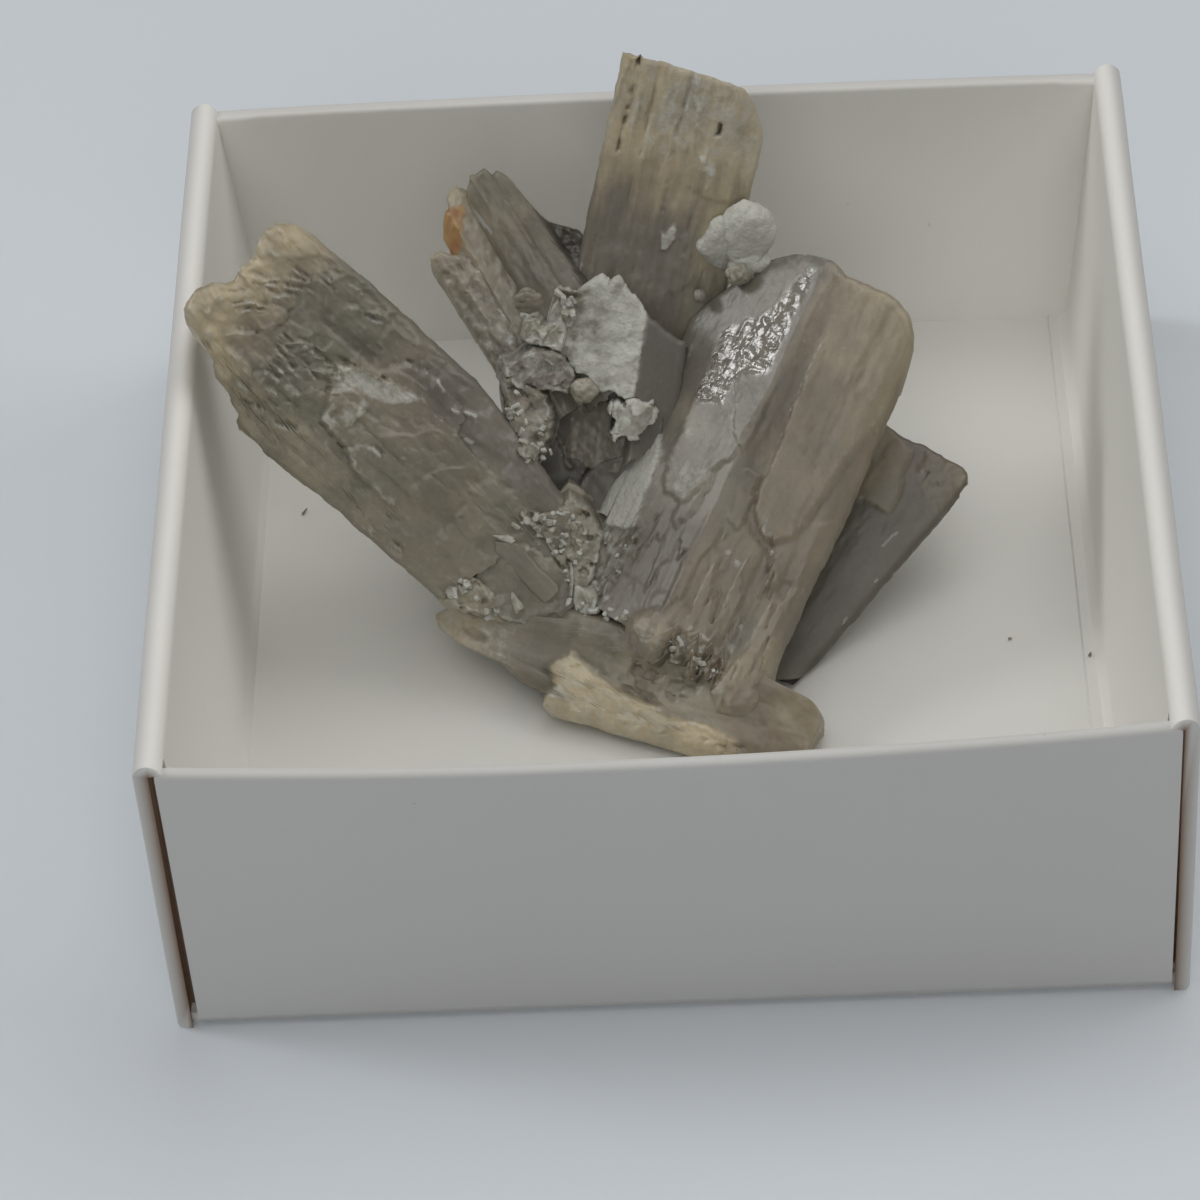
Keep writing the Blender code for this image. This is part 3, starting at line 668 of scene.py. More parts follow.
def bundle(name, crystal, tops, bottoms, fronts, backs, carve, material, seed, widen=None,
           undercut=0.0, ragged=0.05, soft_tip=(0.12, 0.2), soft_side=(0.25, 0.3), step=0.08, edge_shade=0.0,
           shade=0.0, veined=0.12, groove_shade=0.5):
    """A crystal as one closed skin over a block of cells.

    Along: a lattice between the broken lines of its foot and its tip, which are a little ragged.
    Out: the front line plus the carving, less a quarter circle at each edge, then evenly back to the
    back line. Across: the lattice, pushed at its two sides by widen, and drawn in towards the back.
    Carved crests turn pale, and carved grooves get painted shade: the height less its mean over the cells
    around.
    Slow noise makes some parts darker and others more violet, and finer noise gives pale veins.
    """
    left, right = tops[0][0], tops[-1][0]
    highest, lowest = max(top for _, top in tops), min(bottom for _, bottom in bottoms)
    deepest = max(along_line(place, fronts) - back for place, back in backs)
    counts = (round((right - left) / step), round((highest - lowest) / step), max(3, round(deepest / 0.3)))
    places, faces = block_skin(counts)
    i, j, k = places.T
    lane = np.linspace(left, right, counts[0] + 1)[:, None]
    teeth = blades(lane, 0 * lane, 0.5, 9.0, seed + 1, 0.12)
    jag = ragged * (teeth + 0.5 * layered(lane / 0.25, seed=seed))
    tip = along_line(lane, tops) + jag
    start = along_line(lane, bottoms) - 2 * jag
    s = start + (tip - start) * np.linspace(0, 1, counts[1] + 1)
    q = (lane - left) / (right - left)
    u = lane + 0 * s
    for edge, part in zip(widen or (), (1 - q, q)):
        u = u + along_line(s, edge) * part
    rim = np.minimum(lane - left, right - lane)
    u = u + 0.06 * np.clip(1 - rim / 0.4, 0, 1) * layered(s / 0.7, 3 * q, seed=seed + 3)
    line = along_line(lane, fronts)
    height, masks = carve(*crystal.seen(u, s, line))
    masks = {label: np.broadcast_to(value, u.shape) for label, value in masks.items()}
    bulge = height - spread(height, 4)
    uneven = ramp(layered(u / 0.5, s / 0.8, seed=seed + 8), -0.4, 0.4)
    patch = layered(u / 1.5, s / 2.8, seed=seed + 12)
    vein = ramp(layered(u / 0.3, s / 1.0, seed=seed + 14), 0.05, 0.7)
    paler = 0.35 * uneven * ramp(bulge, 0.02, 0.11) + veined * vein
    masks["frost"] = np.clip(masks.get("frost", 0) + paler, 0, 1)
    masks["violet"] = np.clip(masks.get("violet", 0) + 0.35 * ramp(-patch, 0.0, 0.6), 0, 1)
    # Painted shade: a dark line along the sides and the tip, where the edge turns from the light
    outline = edge_shade * (1 - ramp(np.minimum(rim, tip - s), 0.02, 0.2))
    # Painted shade: the carved grooves are darkened, more in some patches than in others
    shade_in_grooves = groove_shade * (1 - 0.8 * uneven) * ramp(-bulge, 0.04, 0.2)
    darker = shade + 0.16 * ramp(patch, 0.0, 0.6) + shade_in_grooves + outline
    masks["dark"] = np.clip(masks.get("dark", 0) + darker, 0, 1)
    height -= soft_side[0] * rounded(rim, soft_side[1]) + soft_tip[0] * rounded(tip - s, soft_tip[1])
    r = k / counts[2]
    front = (line + height)[i, j]
    lane, u, s, rim, q = lane[i, 0], u[i, j], s[i, j], rim[i, 0], q[i, 0]
    back = along_line(lane, backs) + 0.10 * blades(u, s, 0.9, 5.0, seed + 4, 0.2)
    out = front + (back - front) * r
    s = s + 0.06 * layered(lane / 0.5, out / 0.5, seed=seed + 5) * (r > 0)
    s = s - undercut * (front - out) * ramp(j / counts[1], 0.6, 1.0)
    # The narrow sides are uneven too
    flank = np.clip(1 - rim / 0.3, 0, 1) * np.sin(np.pi * r) ** 0.5
    u = u + np.where(q < 0.5, -1, 1) * flank * 0.07 * blades(out, s, 0.7, 3.0, seed + 6, 0.15)
    middle = (left + right) / 2
    u = middle + (u - middle) * (1 - 0.16 * r**2)
    shades = {label: value[i, j] for label, value in masks.items()}
    uv = np.stack([u + 0.7 * out, s], -1)
    return stone(name, crystal.point(u, s, out), faces, material, uv, shades, 38)


def soft_columns(u, s, seed, strength=1.0, wide=0.95, long=8.0):
    """The quiet surface that every crystal has: a slow swell, broad soft columns and patches of grit."""
    bent = u + 0.18 * layered(s / 3.0, u / 2.0, seed=seed)
    height = 0.09 * layered(u / 1.3, s / 2.4, seed=seed + 1)
    height += 0.05 * blades(bent, s, wide, long, seed + 2, 0.3)
    height += 0.02 * blades(bent, s, 0.37 * wide, 0.4 * long, seed + 3, 0.12)
    patches = ramp(layered(u / 1.2, s / 1.8, seed=seed + 4), -0.5, 0.5)
    return strength * height + 0.035 * patches * layered(u / 0.24, s / 0.5, seed=seed + 5)


def plate(u, s, outline, seed, wander=0.12, edge=0.14):
    """0 to 1: a raised plate inside an outline, whose edge wanders a little."""
    shift = wander * layered(u / 0.45, s / 0.6, seed=seed)
    other = wander * layered(u / 0.45, s / 0.6, seed=seed + 50)
    broken = 0.7 * min(wander, 0.15) * layered(u / 0.2, s / 0.25, seed=seed + 60)
    return ramp(inside(u + shift, s + other, outline) + broken, 0.0, edge)


def ridge(u, s, wide, *lines, even=False):
    """0 to 1: narrow crests along broken lines, each falling off as exp(-(distance / width)^2).

    The lines waver, and the crests swell and fade along them unless they are asked to be even.
    """
    x = u + 0.10 * layered(u / 0.4, s / 0.5, seed=70)
    y = s + 0.14 * layered(u / 0.4, s / 0.5, seed=71)
    crest = np.zeros(u.shape)
    for line in lines:
        crest = np.maximum(crest, np.exp(-(near(x, y, line) / wide) ** 2))
    return crest if even else crest * (0.2 + 0.8 * ramp(layered(u / 0.3, s / 0.45, seed=72), -0.45, 0.35))


def scored(u, s, wide, *lines):
    """Two shares from 0 to 1: crests along broken lines, and the groove on the right of each."""
    return ridge(u, s, wide, *lines), ridge(u - 1.5 * wide, s, wide, *lines)


def left_carving(u, s):
    """Ridges and wrinkles towards the tip, a stepped plate in the middle and a smooth lower body."""
    upper = ramp(s, 7.5, 10.5)
    height = soft_columns(u, s, 100, 1.1) + 0.08 * layered(u / 0.6, s / 0.9, seed=101)
    height += 0.09 * chips(u + 0.2 * s, s, 1.1, 1.9, 125) + 0.04 * chips(u, s, 0.45, 0.8, 126)
    edge_side = 1 - ramp(u, -3.0, -2.4)
    height += edge_side * (0.07 * blades(u, s, 0.45, 2.5, 103, 0.12) + 0.04)
    scaly = upper * (1 - ramp(s, 14.5, 15.5)) * (1 - ramp(u, 0.2, 0.9)) + 0.5 * edge_side * ramp(s, 6, 9)
    height += 0.10 * np.clip(scaly, 0, 1) * chips(u + 0.25 * s, s, 0.55, 1.0, 104)
    main = plate(u, s, [(-2.8, -4), (-2.75, 6.5), (-2.3, 7.3), (-2.2, 8.9), (-1.2, 9.45), (0.0, 10.05),
                        (0.6, 9.1), (0.9, 8.2), (1.5, 6.5), (1.4, 3.0), (1.0, -4)], 110, 0.1)
    small = plate(u, s, [(0.7, 3.8), (0.85, 8.45), (1.5, 8.25), (2.0, 7.75), (2.4, 6.9), (2.5, 5.5),
                         (2.2, 4.2)], 111)
    low_step = ramp(s, 2.0, 5.0)
    height += 0.38 * main * (0.25 + 0.75 * low_step) + 0.2 * small * (1 - main)
    facet = plate(u, s, [(-0.4, 9.3), (0.05, 9.95), (0.55, 9.0), (0.85, 8.1), (1.4, 6.6), (1.2, 6.3),
                         (0.4, 7.0), (0.0, 7.5), (-0.25, 8.5)], 112, 0.05)
    height -= 0.16 * facet * ramp(s + 1.2 * u, 7.6, 10.2)
    knobs = plate(u, s, [(-2.3, 6.9), (-2.25, 8.9), (-1.4, 9.4), (-0.3, 9.7), (-0.3, 7.9), (-1.0, 6.6)],
                  113)
    height += 0.10 * knobs * layered(u / 0.4, s / 0.5, seed=114)
    crease, crease_side = scored(
        u, s, 0.10,
        [(-1.3, 14.9), (-0.75, 14.4), (-0.4, 13.9), (-0.2, 13.5)], [(-1.25, 14.4), (-0.7, 13.8)],
        [(0.2, 15.0), (0.6, 14.3), (1.2, 13.7), (1.6, 13.2)], [(0.3, 14.4), (0.85, 13.6), (1.3, 12.8)],
        [(0.0, 14.6), (0.2, 13.8), (0.7, 13.1)], [(1.45, 14.0), (1.7, 13.3)], [(2.2, 13.2), (2.2, 12.5)],
        [(-1.9, 14.0), (-1.5, 13.4)], [(1.9, 12.9), (1.95, 12.2)])
    lens, lens_side = scored(
        u, s, 0.10,
        [(-1.9, 12.1), (-1.9, 11.0)], [(-1.4, 12.4), (-1.45, 11.2)],
        [(-1.1, 12.1), (-0.95, 10.8), (-1.15, 10.2)], [(-0.4, 11.7), (-0.3, 10.1)],
        [(-2.35, 12.0), (-2.3, 11.4)], [(-0.75, 12.4), (-0.7, 11.9)])
    bits, bits_side = scored(
        u, s, 0.10,
        [(1.95, 11.3), (2.25, 10.9), (2.15, 10.4), (2.5, 9.4)], [(2.8, 11.1), (2.75, 10.5)],
        [(-3.65, 10.2), (-3.2, 9.3)], [(-3.9, 11.7), (-3.6, 11.0)], [(-3.5, 12.5), (-3.2, 11.6)],
        [(-1.6, 6.6), (-1.55, 6.1)], [(-1.0, 5.3), (-0.9, 5.0)], [(-1.25, 1.5), (-1.15, 1.2)],
        [(2.0, 7.7), (2.35, 7.0)], [(-3.75, 3.0), (-3.7, 2.5)], [(2.35, 5.3), (2.4, 4.9)])
    height += 0.14 * crease + 0.13 * lens + 0.10 * bits - 0.09 * (crease_side + lens_side + bits_side)
    height -= 0.12 * ridge(
        u, s, 0.1, [(-0.6, 15.6), (-0.55, 14.8)], [(-3.1, 15.0), (-3.05, 11.0), (-2.7, 9.2)])
    # Painted glints: small raised bits made bright with frost
    glint_bits = ridge(u, s, 0.09, [(1.5, 4.3), (1.52, 3.9)], [(2.0, 5.0), (2.1, 4.7)],
                  [(2.35, 4.5), (2.45, 4.1)],
                  [(2.4, 6.3), (2.35, 5.8)], [(1.5, 3.7), (1.6, 3.3)])
    height += 0.08 * glint_bits
    hollow = plate(u, s, [(0.7, 12.2), (1.7, 12.4), (1.9, 9.2), (1.5, 8.6), (0.9, 8.6), (0.6, 9.8)], 117,
                   0.2, 0.5)
    cave = plate(u, s, [(1.5, 8.0), (2.2, 7.4), (2.4, 5.6), (1.7, 5.0), (1.5, 6.4)], 118, 0.1, 0.3)
    pebbly = upper * ramp(layered(u / 0.45, s / 0.7, seed=122), 0.15, 0.6)
    height += 0.08 * pebbly
    # The sunken facet's frost is partly pale stone and partly a painted highlight where light catches it
    frost = 0.5 * facet + 0.45 * knobs * ramp(layered(u / 0.5, s / 0.5, seed=115), -0.2, 0.5)
    frost += 0.45 * crease
    frost += 0.45 * lens + 0.5 * bits + 0.9 * glint_bits + 0.12 * main * ramp(s, 3.0, 6.0) + 0.2 * pebbly
    # Painted light: the left edge is paler, by tan here and by frost below, where light falls on it
    tan = ramp(s + 0.9 * layered(u / 0.8, s / 1.5, seed=116), 12.3, 15.3) + 0.35 * edge_side * ramp(s, 3, 9)
    violet = ramp(u + 0.25 * layered(u, s / 2, seed=119), 0.8, 2.0) * (1 - ramp(s, 5.5, 9.5))
    dull = plate(u, s, [(0.2, 2), (0.4, 4.6), (1.2, 4.6), (1.2, 2)], 121, 0.3, 0.4)
    # Painted shade: dark patches over and under the small plate, and in the grooves beside the crests
    dark = 0.3 * hollow + 0.3 * cave + 0.1 * dull
    dark += 0.3 * (crease_side + lens_side + bits_side) + 0.15 * main * (1 - ramp(s, 4.5, 8.0))
    frost += 0.15 * ramp(s + 0.9 * layered(u / 0.8, s / 1.5, seed=123), 13.4, 15.6) + 0.1 * edge_side
    return height, {"tan": np.clip(tan, 0.12, 1), "frost": np.clip(frost, 0, 1), "violet": violet,
                    "dark": dark, "streaky": 0.12 + 0.35 * upper}


def left_crystal(material):
    """The long crystal that leans to the left rim: a bundle with a stepped left edge."""
    return bundle(
        "left_crystal", LEFT,
        tops=[(-4.6, 10.6), (-4.45, 10.95), (-4.2, 11.15), (-4.1, 11.75), (-3.9, 12.0), (-3.8, 13.1),
              (-3.55, 13.5), (-3.35, 13.7), (-3.25, 15.0), (-3.1, 15.6), (-2.75, 16.15), (-1.9, 16.3),
              (-1.15, 16.05), (-0.8, 15.6), (-0.5, 15.45), (0.1, 15.6), (0.8, 15.5), (1.2, 15.75),
              (1.9, 15.9), (2.4, 15.75), (2.9, 15.2), (3.2, 14.3)],
        bottoms=[(-4.6, -0.7), (-3.8, -0.7), (-3.2, -0.6), (-2.3, -0.8), (-1.5, -0.9), (-0.7, -1.0),
                 (0.3, -2.5), (1.5, -4.0), (3.2, -4.0)],
        fronts=[(-4.6, -1.2), (-4.2, -0.9), (-3.8, -0.62), (-3.35, -0.35), (-3.1, -0.15), (-1.9, 0.0),
                (-0.6, 0.1), (1.1, -0.05), (2.3, 0.05), (2.9, -0.15), (3.2, -0.4)],
        backs=[(-4.6, -2.1), (-3.8, -2.6), (-3.2, -2.9), (-1.9, -3.1), (-0.8, -3.6), (1.1, -3.9),
               (2.4, -3.7), (3.2, -3.1)],
        widen=([(-5, 0.8), (-1, 0.7), (5, 0.4), (9, 0.0)],
               [(-4, -0.5), (-1.5, -0.4), (1, 0.0), (4, 0.4), (5, 0.45), (10, 0.3), (13, 0.05), (16, 0.0)]),
        carve=left_carving, material=material, seed=130, undercut=0.38, ragged=0.03, soft_tip=(0.45, 0.9),
        edge_shade=0.25)


def back_carving(seed, rough, rust_outline=None, slit=None):
    """The carving of a slim back bundle: soft columns, rougher where asked, with a rust patch on one."""
    def carve(u, s):
        height = soft_columns(u, s, seed, 1.1, 0.7, 5.0)
        fine = layered(u / 0.35, s / 0.55, seed=seed + 7)
        pitted = 0.06 * chips(u, s, 0.32, 0.45, seed + 6) + 0.09 * fine
        height += rough * pitted
        tan = 0.15 + 0.35 * ramp(s, 5.0, 8.5)
        pale = ramp(layered(u / 0.25, s / 0.6, seed=seed + 9), 0.1, 0.6)
        # The dark share is painted shade in the pitted hollows
        masks = {"tan": tan, "frost": (0.25 + 0.2 * rough) * pale, "streaky": 0.6,
                 "violet": 0.5 * (1 - ramp(s, 1.5, 5.5)), "dark": 0.2 * ramp(-pitted, 0.03, 0.1) * rough}
        if rust_outline:
            masks["rust"] = 0.9 * plate(u, s, rust_outline, seed + 8, 0.15, 0.2)
            height += 0.08 * masks["rust"] * layered(u / 0.3, s / 0.3, seed=seed + 10)
            masks["frost"] = masks["frost"] * (1 - masks["rust"])
        if slit:
            # Painted highlight: a pale line along the slit, where light shows through
            masks["frost"] = np.maximum(masks["frost"], ridge(u, s, 0.09, slit, even=True))
            behind = ramp(u + 0.1 * layered(u / 0.4, s / 0.4, seed=seed + 11), 1.05, 1.3)
            height += 0.15 * behind * layered(u / 0.3, s / 0.3, seed=seed + 12)
            masks["dark"] = 0.4 * behind
        return height, masks
    return carve


def back_crystals(material):
    """The three slim bundles that fan out at the back left."""
    bundle("back_crystal_outer", BACK_OUTER,
           tops=[(-0.9, 6.35), (-0.65, 6.7), (-0.15, 6.7), (0.1, 6.4), (0.45, 6.15), (0.9, 5.7)],
           bottoms=[(-0.9, -1.0), (0.9, -1.0)],
           fronts=[(-0.9, -0.2), (0.0, 0.1), (0.9, -0.1)],
           backs=[(-0.9, -1.5), (0.0, -1.8), (0.9, -1.6)],
           carve=back_carving(200, 1.0), material=material, seed=210, ragged=0.06,
           soft_tip=(0.25, 0.35), veined=0.35)
    bundle("back_crystal_middle", BACK_MIDDLE,
           tops=[(-1.4, 7.2), (-1.1, 7.6), (-0.7, 8.0), (-0.5, 8.05), (-0.4, 8.5), (-0.1, 8.75), (0.2, 8.8),
                 (0.5, 8.5), (0.8, 8.0)],
           bottoms=[(-1.4, -2.0), (0.8, -2.0)],
           fronts=[(-1.4, -0.35), (-0.6, -0.05), (-0.45, -0.15), (0.1, -0.35), (0.8, -0.6)],
           backs=[(-1.4, -1.3), (-0.6, -1.6), (0.8, -1.8)],
           carve=back_carving(220, 0.6, [(-1.7, 5.9), (-1.7, 7.4), (-1.1, 8.0), (-0.6, 8.25), (0.1, 7.95),
                                         (0.15, 7.4), (-0.3, 6.95), (-0.6, 6.5), (-1.1, 5.9)]),
           material=material, seed=230, ragged=0.05, soft_tip=(0.3, 0.5))
    bundle("back_crystal_inner", BACK_INNER,
           tops=[(-1.3, 8.1), (-1.0, 8.7), (-0.6, 9.15), (0.2, 9.15), (0.3, 8.75), (0.6, 8.8), (0.85, 8.4),
                 (0.97, 7.8), (1.02, 7.1), (1.2, 6.2), (1.3, 5.9), (2.2, 5.0)],
           bottoms=[(-1.3, -2.0), (2.2, -2.0)],
           fronts=[(-1.3, -0.1), (-0.3, 0.1), (0.3, 0.1), (0.4, -0.05), (1.1, -0.3), (1.3, -0.7),
                   (2.2, -1.0)],
           backs=[(-1.3, -1.7), (-0.2, -2.0), (1.3, -2.0), (2.2, -1.9)],
           widen=([(0, 0.0), (9, 0.0)], [(0, 0.5), (5, 0.0), (9, -0.2)]),
           carve=back_carving(240, 0.25, slit=[(-1.25, 7.9), (-1.15, 7.2), (-1.05, 6.6)]),
           material=material, seed=250, ragged=0.05, soft_tip=(0.2, 0.3), shade=0.38)


def tall_carving(u, s):
    """Broad columns with long straight grooves, tan above and violet grey below."""
    height = soft_columns(u, s, 300, 1.3, 1.1, 9.0) + 0.02 * blades(u, s, 0.4, 4.0, 305, 0.2)
    groove = np.zeros(u.shape)
    for line, wide, deep in (
            ([(-2.35, 13.6), (-2.4, 11.5), (-2.45, 9.3)], 0.10, 0.2),
            ([(-0.1, 13.4), (-0.2, 10.5), (-0.05, 7.3)], 0.08, 0.12),
            ([(1.2, 8.4), (1.25, 5.6)], 0.10, 0.08), ([(1.9, 9.6), (2.0, 8.5)], 0.12, 0.08),
            ([(-1.5, 13.0), (-1.5, 9.5)], 0.07, 0.06),
            ([(-2.9, 13.5), (-2.3, 13.2), (-2.2, 12.7)], 0.12, 0.08)):
        groove += deep * ridge(u, s, wide, line)
    groove += 0.25 * ridge(u, s, 0.08, [(1.5, 11.45), (1.53, 11.05)], even=True)
    pale_line = ridge(u, s, 0.12, [(0.15, 13.2), (0.35, 12.2), (0.5, 11.9), (0.3, 11.0), (0.3, 10.1)],
                      [(-1.3, 11.2), (-1.3, 9.4)])
    pale_blades = ramp(blades(u, s, 0.35, 2.6, 306, 0.2), 0.5, 0.9)
    pale_line = np.maximum(pale_line, 0.5 * pale_blades * ramp(s, 8.0, 10.0))
    crusty = plate(u, s, [(0.4, 10.3), (1.2, 10.15), (1.8, 9.7), (2.0, 8.9), (1.7, 8.0), (1.3, 8.2),
                          (1.4, 9.0), (1.0, 9.7)], 312, 0.22, 0.25)
    crusty = crusty * ramp(layered(u / 0.35, s / 0.35, seed=317), -0.4, 0.3)
    sill = ridge(u, s, 0.1, [(0.6, 8.6), (1.1, 8.5), (1.5, 8.05), (2.1, 8.1), (2.7, 8.2)])
    upper_plate = plate(u, s, [(0.5, 14), (0.45, 10), (0.6, 8.5), (1.4, 8.1), (2.7, 8.2), (3.6, 8.8),
                               (3.6, 14)], 309, 0.12, 0.25)
    height += 0.07 * pale_line + 0.10 * upper_plate - groove
    height += crusty * (0.08 + 0.10 * chips(u, s, 0.3, 0.35, 312))
    white = plate(u, s, [(-0.1, 6.6), (0.1, 6.0), (0.2, 5.5), (0.5, 5.5), (0.8, 6.1), (0.8, 6.6),
                         (0.5, 6.9), (0.2, 6.3)], 311, 0.1)
    pale_left = plate(u, s, [(-3.2, 12.3), (-2.5, 12.3), (-2.5, 9.0), (-3.2, 9.0)], 315, 0.1, 0.3)
    soft_patch = plate(u, s, [(0.4, 8.7), (0.5, 7.9), (1.3, 7.6), (1.2, 8.5)], 316, 0.15, 0.2)
    height += 0.1 * white
    uneven = 1.4 * layered(u / 0.4, s / 2.5, seed=313) + 0.5 * layered(u / 1.2, s / 1.2, seed=318)
    tan = 0.18 + 0.82 * ramp(s + uneven, 6.5, 10.5)
    tan = np.maximum(tan, 0.55 * ramp(u, 1.2, 2.0) * ramp(s, 4.2, 5.5))
    violet = (1 - ramp(s + 0.7 * uneven, 5.5, 9.5)) * (1 - ramp(u, 1.2, 2.0))
    frost = 0.30 * pale_line + 0.45 * crusty + 0.35 * sill + 0.7 * white + 0.2 * pale_left + 0.2 * soft_patch
    frost += (0.22 + 0.2 * ramp(u, -1.6, -0.6)) * ramp(s + uneven, 8.0, 11.0)
    # Painted shade: the carved grooves are darkened
    dark = np.clip(1.6 * groove + 0.12 * (1 - ramp(u + 0.2 * uneven, -1.7, -1.1)), 0, 0.5)
    return height, {"tan": tan, "violet": violet, "frost": np.clip(frost, 0, 1), "dark": dark,
                    "streaky": 0.35}


def tall_crystal(material):
    """The tall plate at the back: broad columns side by side under an almost level top."""
    return bundle(
        "tall_crystal", TALL,
        tops=[(-3.1, 13.4), (-2.9, 13.5), (-2.3, 13.55), (-1.2, 13.5), (0.1, 13.4), (1.5, 13.3),
              (2.2, 13.05), (2.7, 12.55), (2.95, 12.1), (3.3, 11.5), (3.4, 10.9)],
        bottoms=[(-3.1, -7.0), (3.4, -6.0)],
        fronts=[(-3.1, -0.4), (-2.4, -0.12), (-1.3, 0.0), (0.0, -0.1), (1.5, -0.15), (2.6, -0.4),
                (3.4, -0.8)],
        backs=[(-3.1, -1.8), (-2.4, -2.3), (-1.2, -2.6), (1.5, -2.5), (2.6, -2.2), (3.4, -1.8)],
        carve=tall_carving, material=material, seed=320, undercut=0.42, ragged=0.05, edge_shade=0.2)


def middle_carving(u, s):
    """A frosted upper face, and a smooth violet face to its right beyond a ridge."""
    right_face = ramp(u, 2.0, 2.25)
    height = soft_columns(u, s, 400, 0.5)
    face = 1 - right_face
    height += face * (0.2 * layered(u / 0.9, s / 0.9, seed=413) + 0.05 * chips(u, s, 0.45, 0.45, 415))
    height += 0.025 * face * layered(u / 0.2, s / 0.2, seed=417)
    left_part = 1 - ramp(u + 0.3 * layered(s / 0.8, seed=418), -1.1, -0.2)
    height += left_part * (0.15 * domes(u, s, 0.85, 419) + 0.16 * chips(u, s, 0.75, 0.75, 421) - 0.1)
    under = plate(u, s, [(-2.4, 8.9), (-1.4, 8.8), (-0.9, 8.5), (-0.5, 8.0), (0.1, 7.8), (0.6, 7.3),
                         (1.1, 7.45), (1.6, 7.15), (2.3, 7.3), (2.3, 0), (-2.4, 0)], 410, 0.2)
    height -= 0.8 * under * face
    frost = face * (1 - under) * (0.74 + 0.4 * layered(u / 0.8, s / 0.9, seed=414) - 0.25 * left_part)
    patch = plate(u, s, [(0.0, 9.0), (0.3, 9.4), (0.9, 8.9), (0.7, 8.3), (0.2, 8.3)], 416, 0.2, 0.4)
    frost -= 0.25 * patch * face
    return height, {"tan": 0.2 * patch + 0.15 * left_part, "violet": right_face,
                    "frost": np.clip(frost, 0, 1), "dark": 0.1 * right_face + 0.3 * under * face}


def middle_crystal(material):
    """The blunt frosted crystal between the tall one and the right one."""
    bundle(
        "middle_crystal", MIDDLE,
        tops=[(-2.0, 10.2), (-1.85, 11.3), (-1.3, 11.5), (-0.95, 11.25), (-0.5, 11.75), (0.0, 12.25),
              (0.4, 12.0), (0.7, 12.2), (1.2, 11.8), (2.0, 11.0), (2.2, 10.8), (2.8, 10.3), (3.4, 9.95),
              (4.0, 9.75)],
        bottoms=[(-2.0, 4.5), (0.5, 4.0), (1.9, 4.0), (2.4, 4.6), (3.0, 5.2), (4.0, 5.7)],
        fronts=[(-2.0, -1.1), (-1.3, -0.9), (0.3, -0.5), (1.5, -0.12), (2.05, 0.0), (2.3, -0.05),
                (4.0, -1.0)],
        backs=[(-2.0, -2.4), (-1.3, -2.8), (0.3, -3.2), (2.2, -3.4), (4.0, -2.9)],
        carve=middle_carving, material=material, seed=420, undercut=0.3, ragged=0.09, soft_tip=(0.3, 0.4),
        step=0.07)


def dark_carving(u, s):
    """Smooth facets with one paler edge, dark with painted shade: the inside of the hollow."""
    height = 0.12 * layered(u / 1.2, s / 1.2, seed=440)
    facet = plate(u, s, [(0.25, 3.2), (0.5, 3.9), (0.9, 4.4), (1.6, 4.8), (2.4, 5.2), (3.0, 7.0),
                         (3.6, 7.0), (3.6, 1.0), (1.2, 1.5)], 441, 0.05, 0.1)
    height += 0.5 * facet
    bits = ridge(u, s, 0.12, [(-0.5, 4.8), (-0.35, 4.3), (-0.1, 4.0)], [(-0.9, 5.2), (-0.7, 4.9)])
    return height + 0.15 * bits, {"violet": 0.6 * facet, "frost": 0.5 * bits, "dark": 0.75 - 0.2 * facet}


def dark_block(material):
    """The blocks at the bottom of the hollow between the crystals, dark with painted shade."""
    return bundle(
        "dark_block", MIDDLE,
        tops=[(-2.0, 8.6), (0.8, 8.3), (3.6, 7.4)], bottoms=[(-2.0, 0.0), (3.6, 0.0)],
        fronts=[(-2.0, -1.1), (-0.5, -1.5), (0.4, -1.6), (1.6, -1.35), (3.6, -1.1)],
        backs=[(-2.0, -4.0), (3.6, -4.0)], carve=dark_carving, material=material, seed=445)


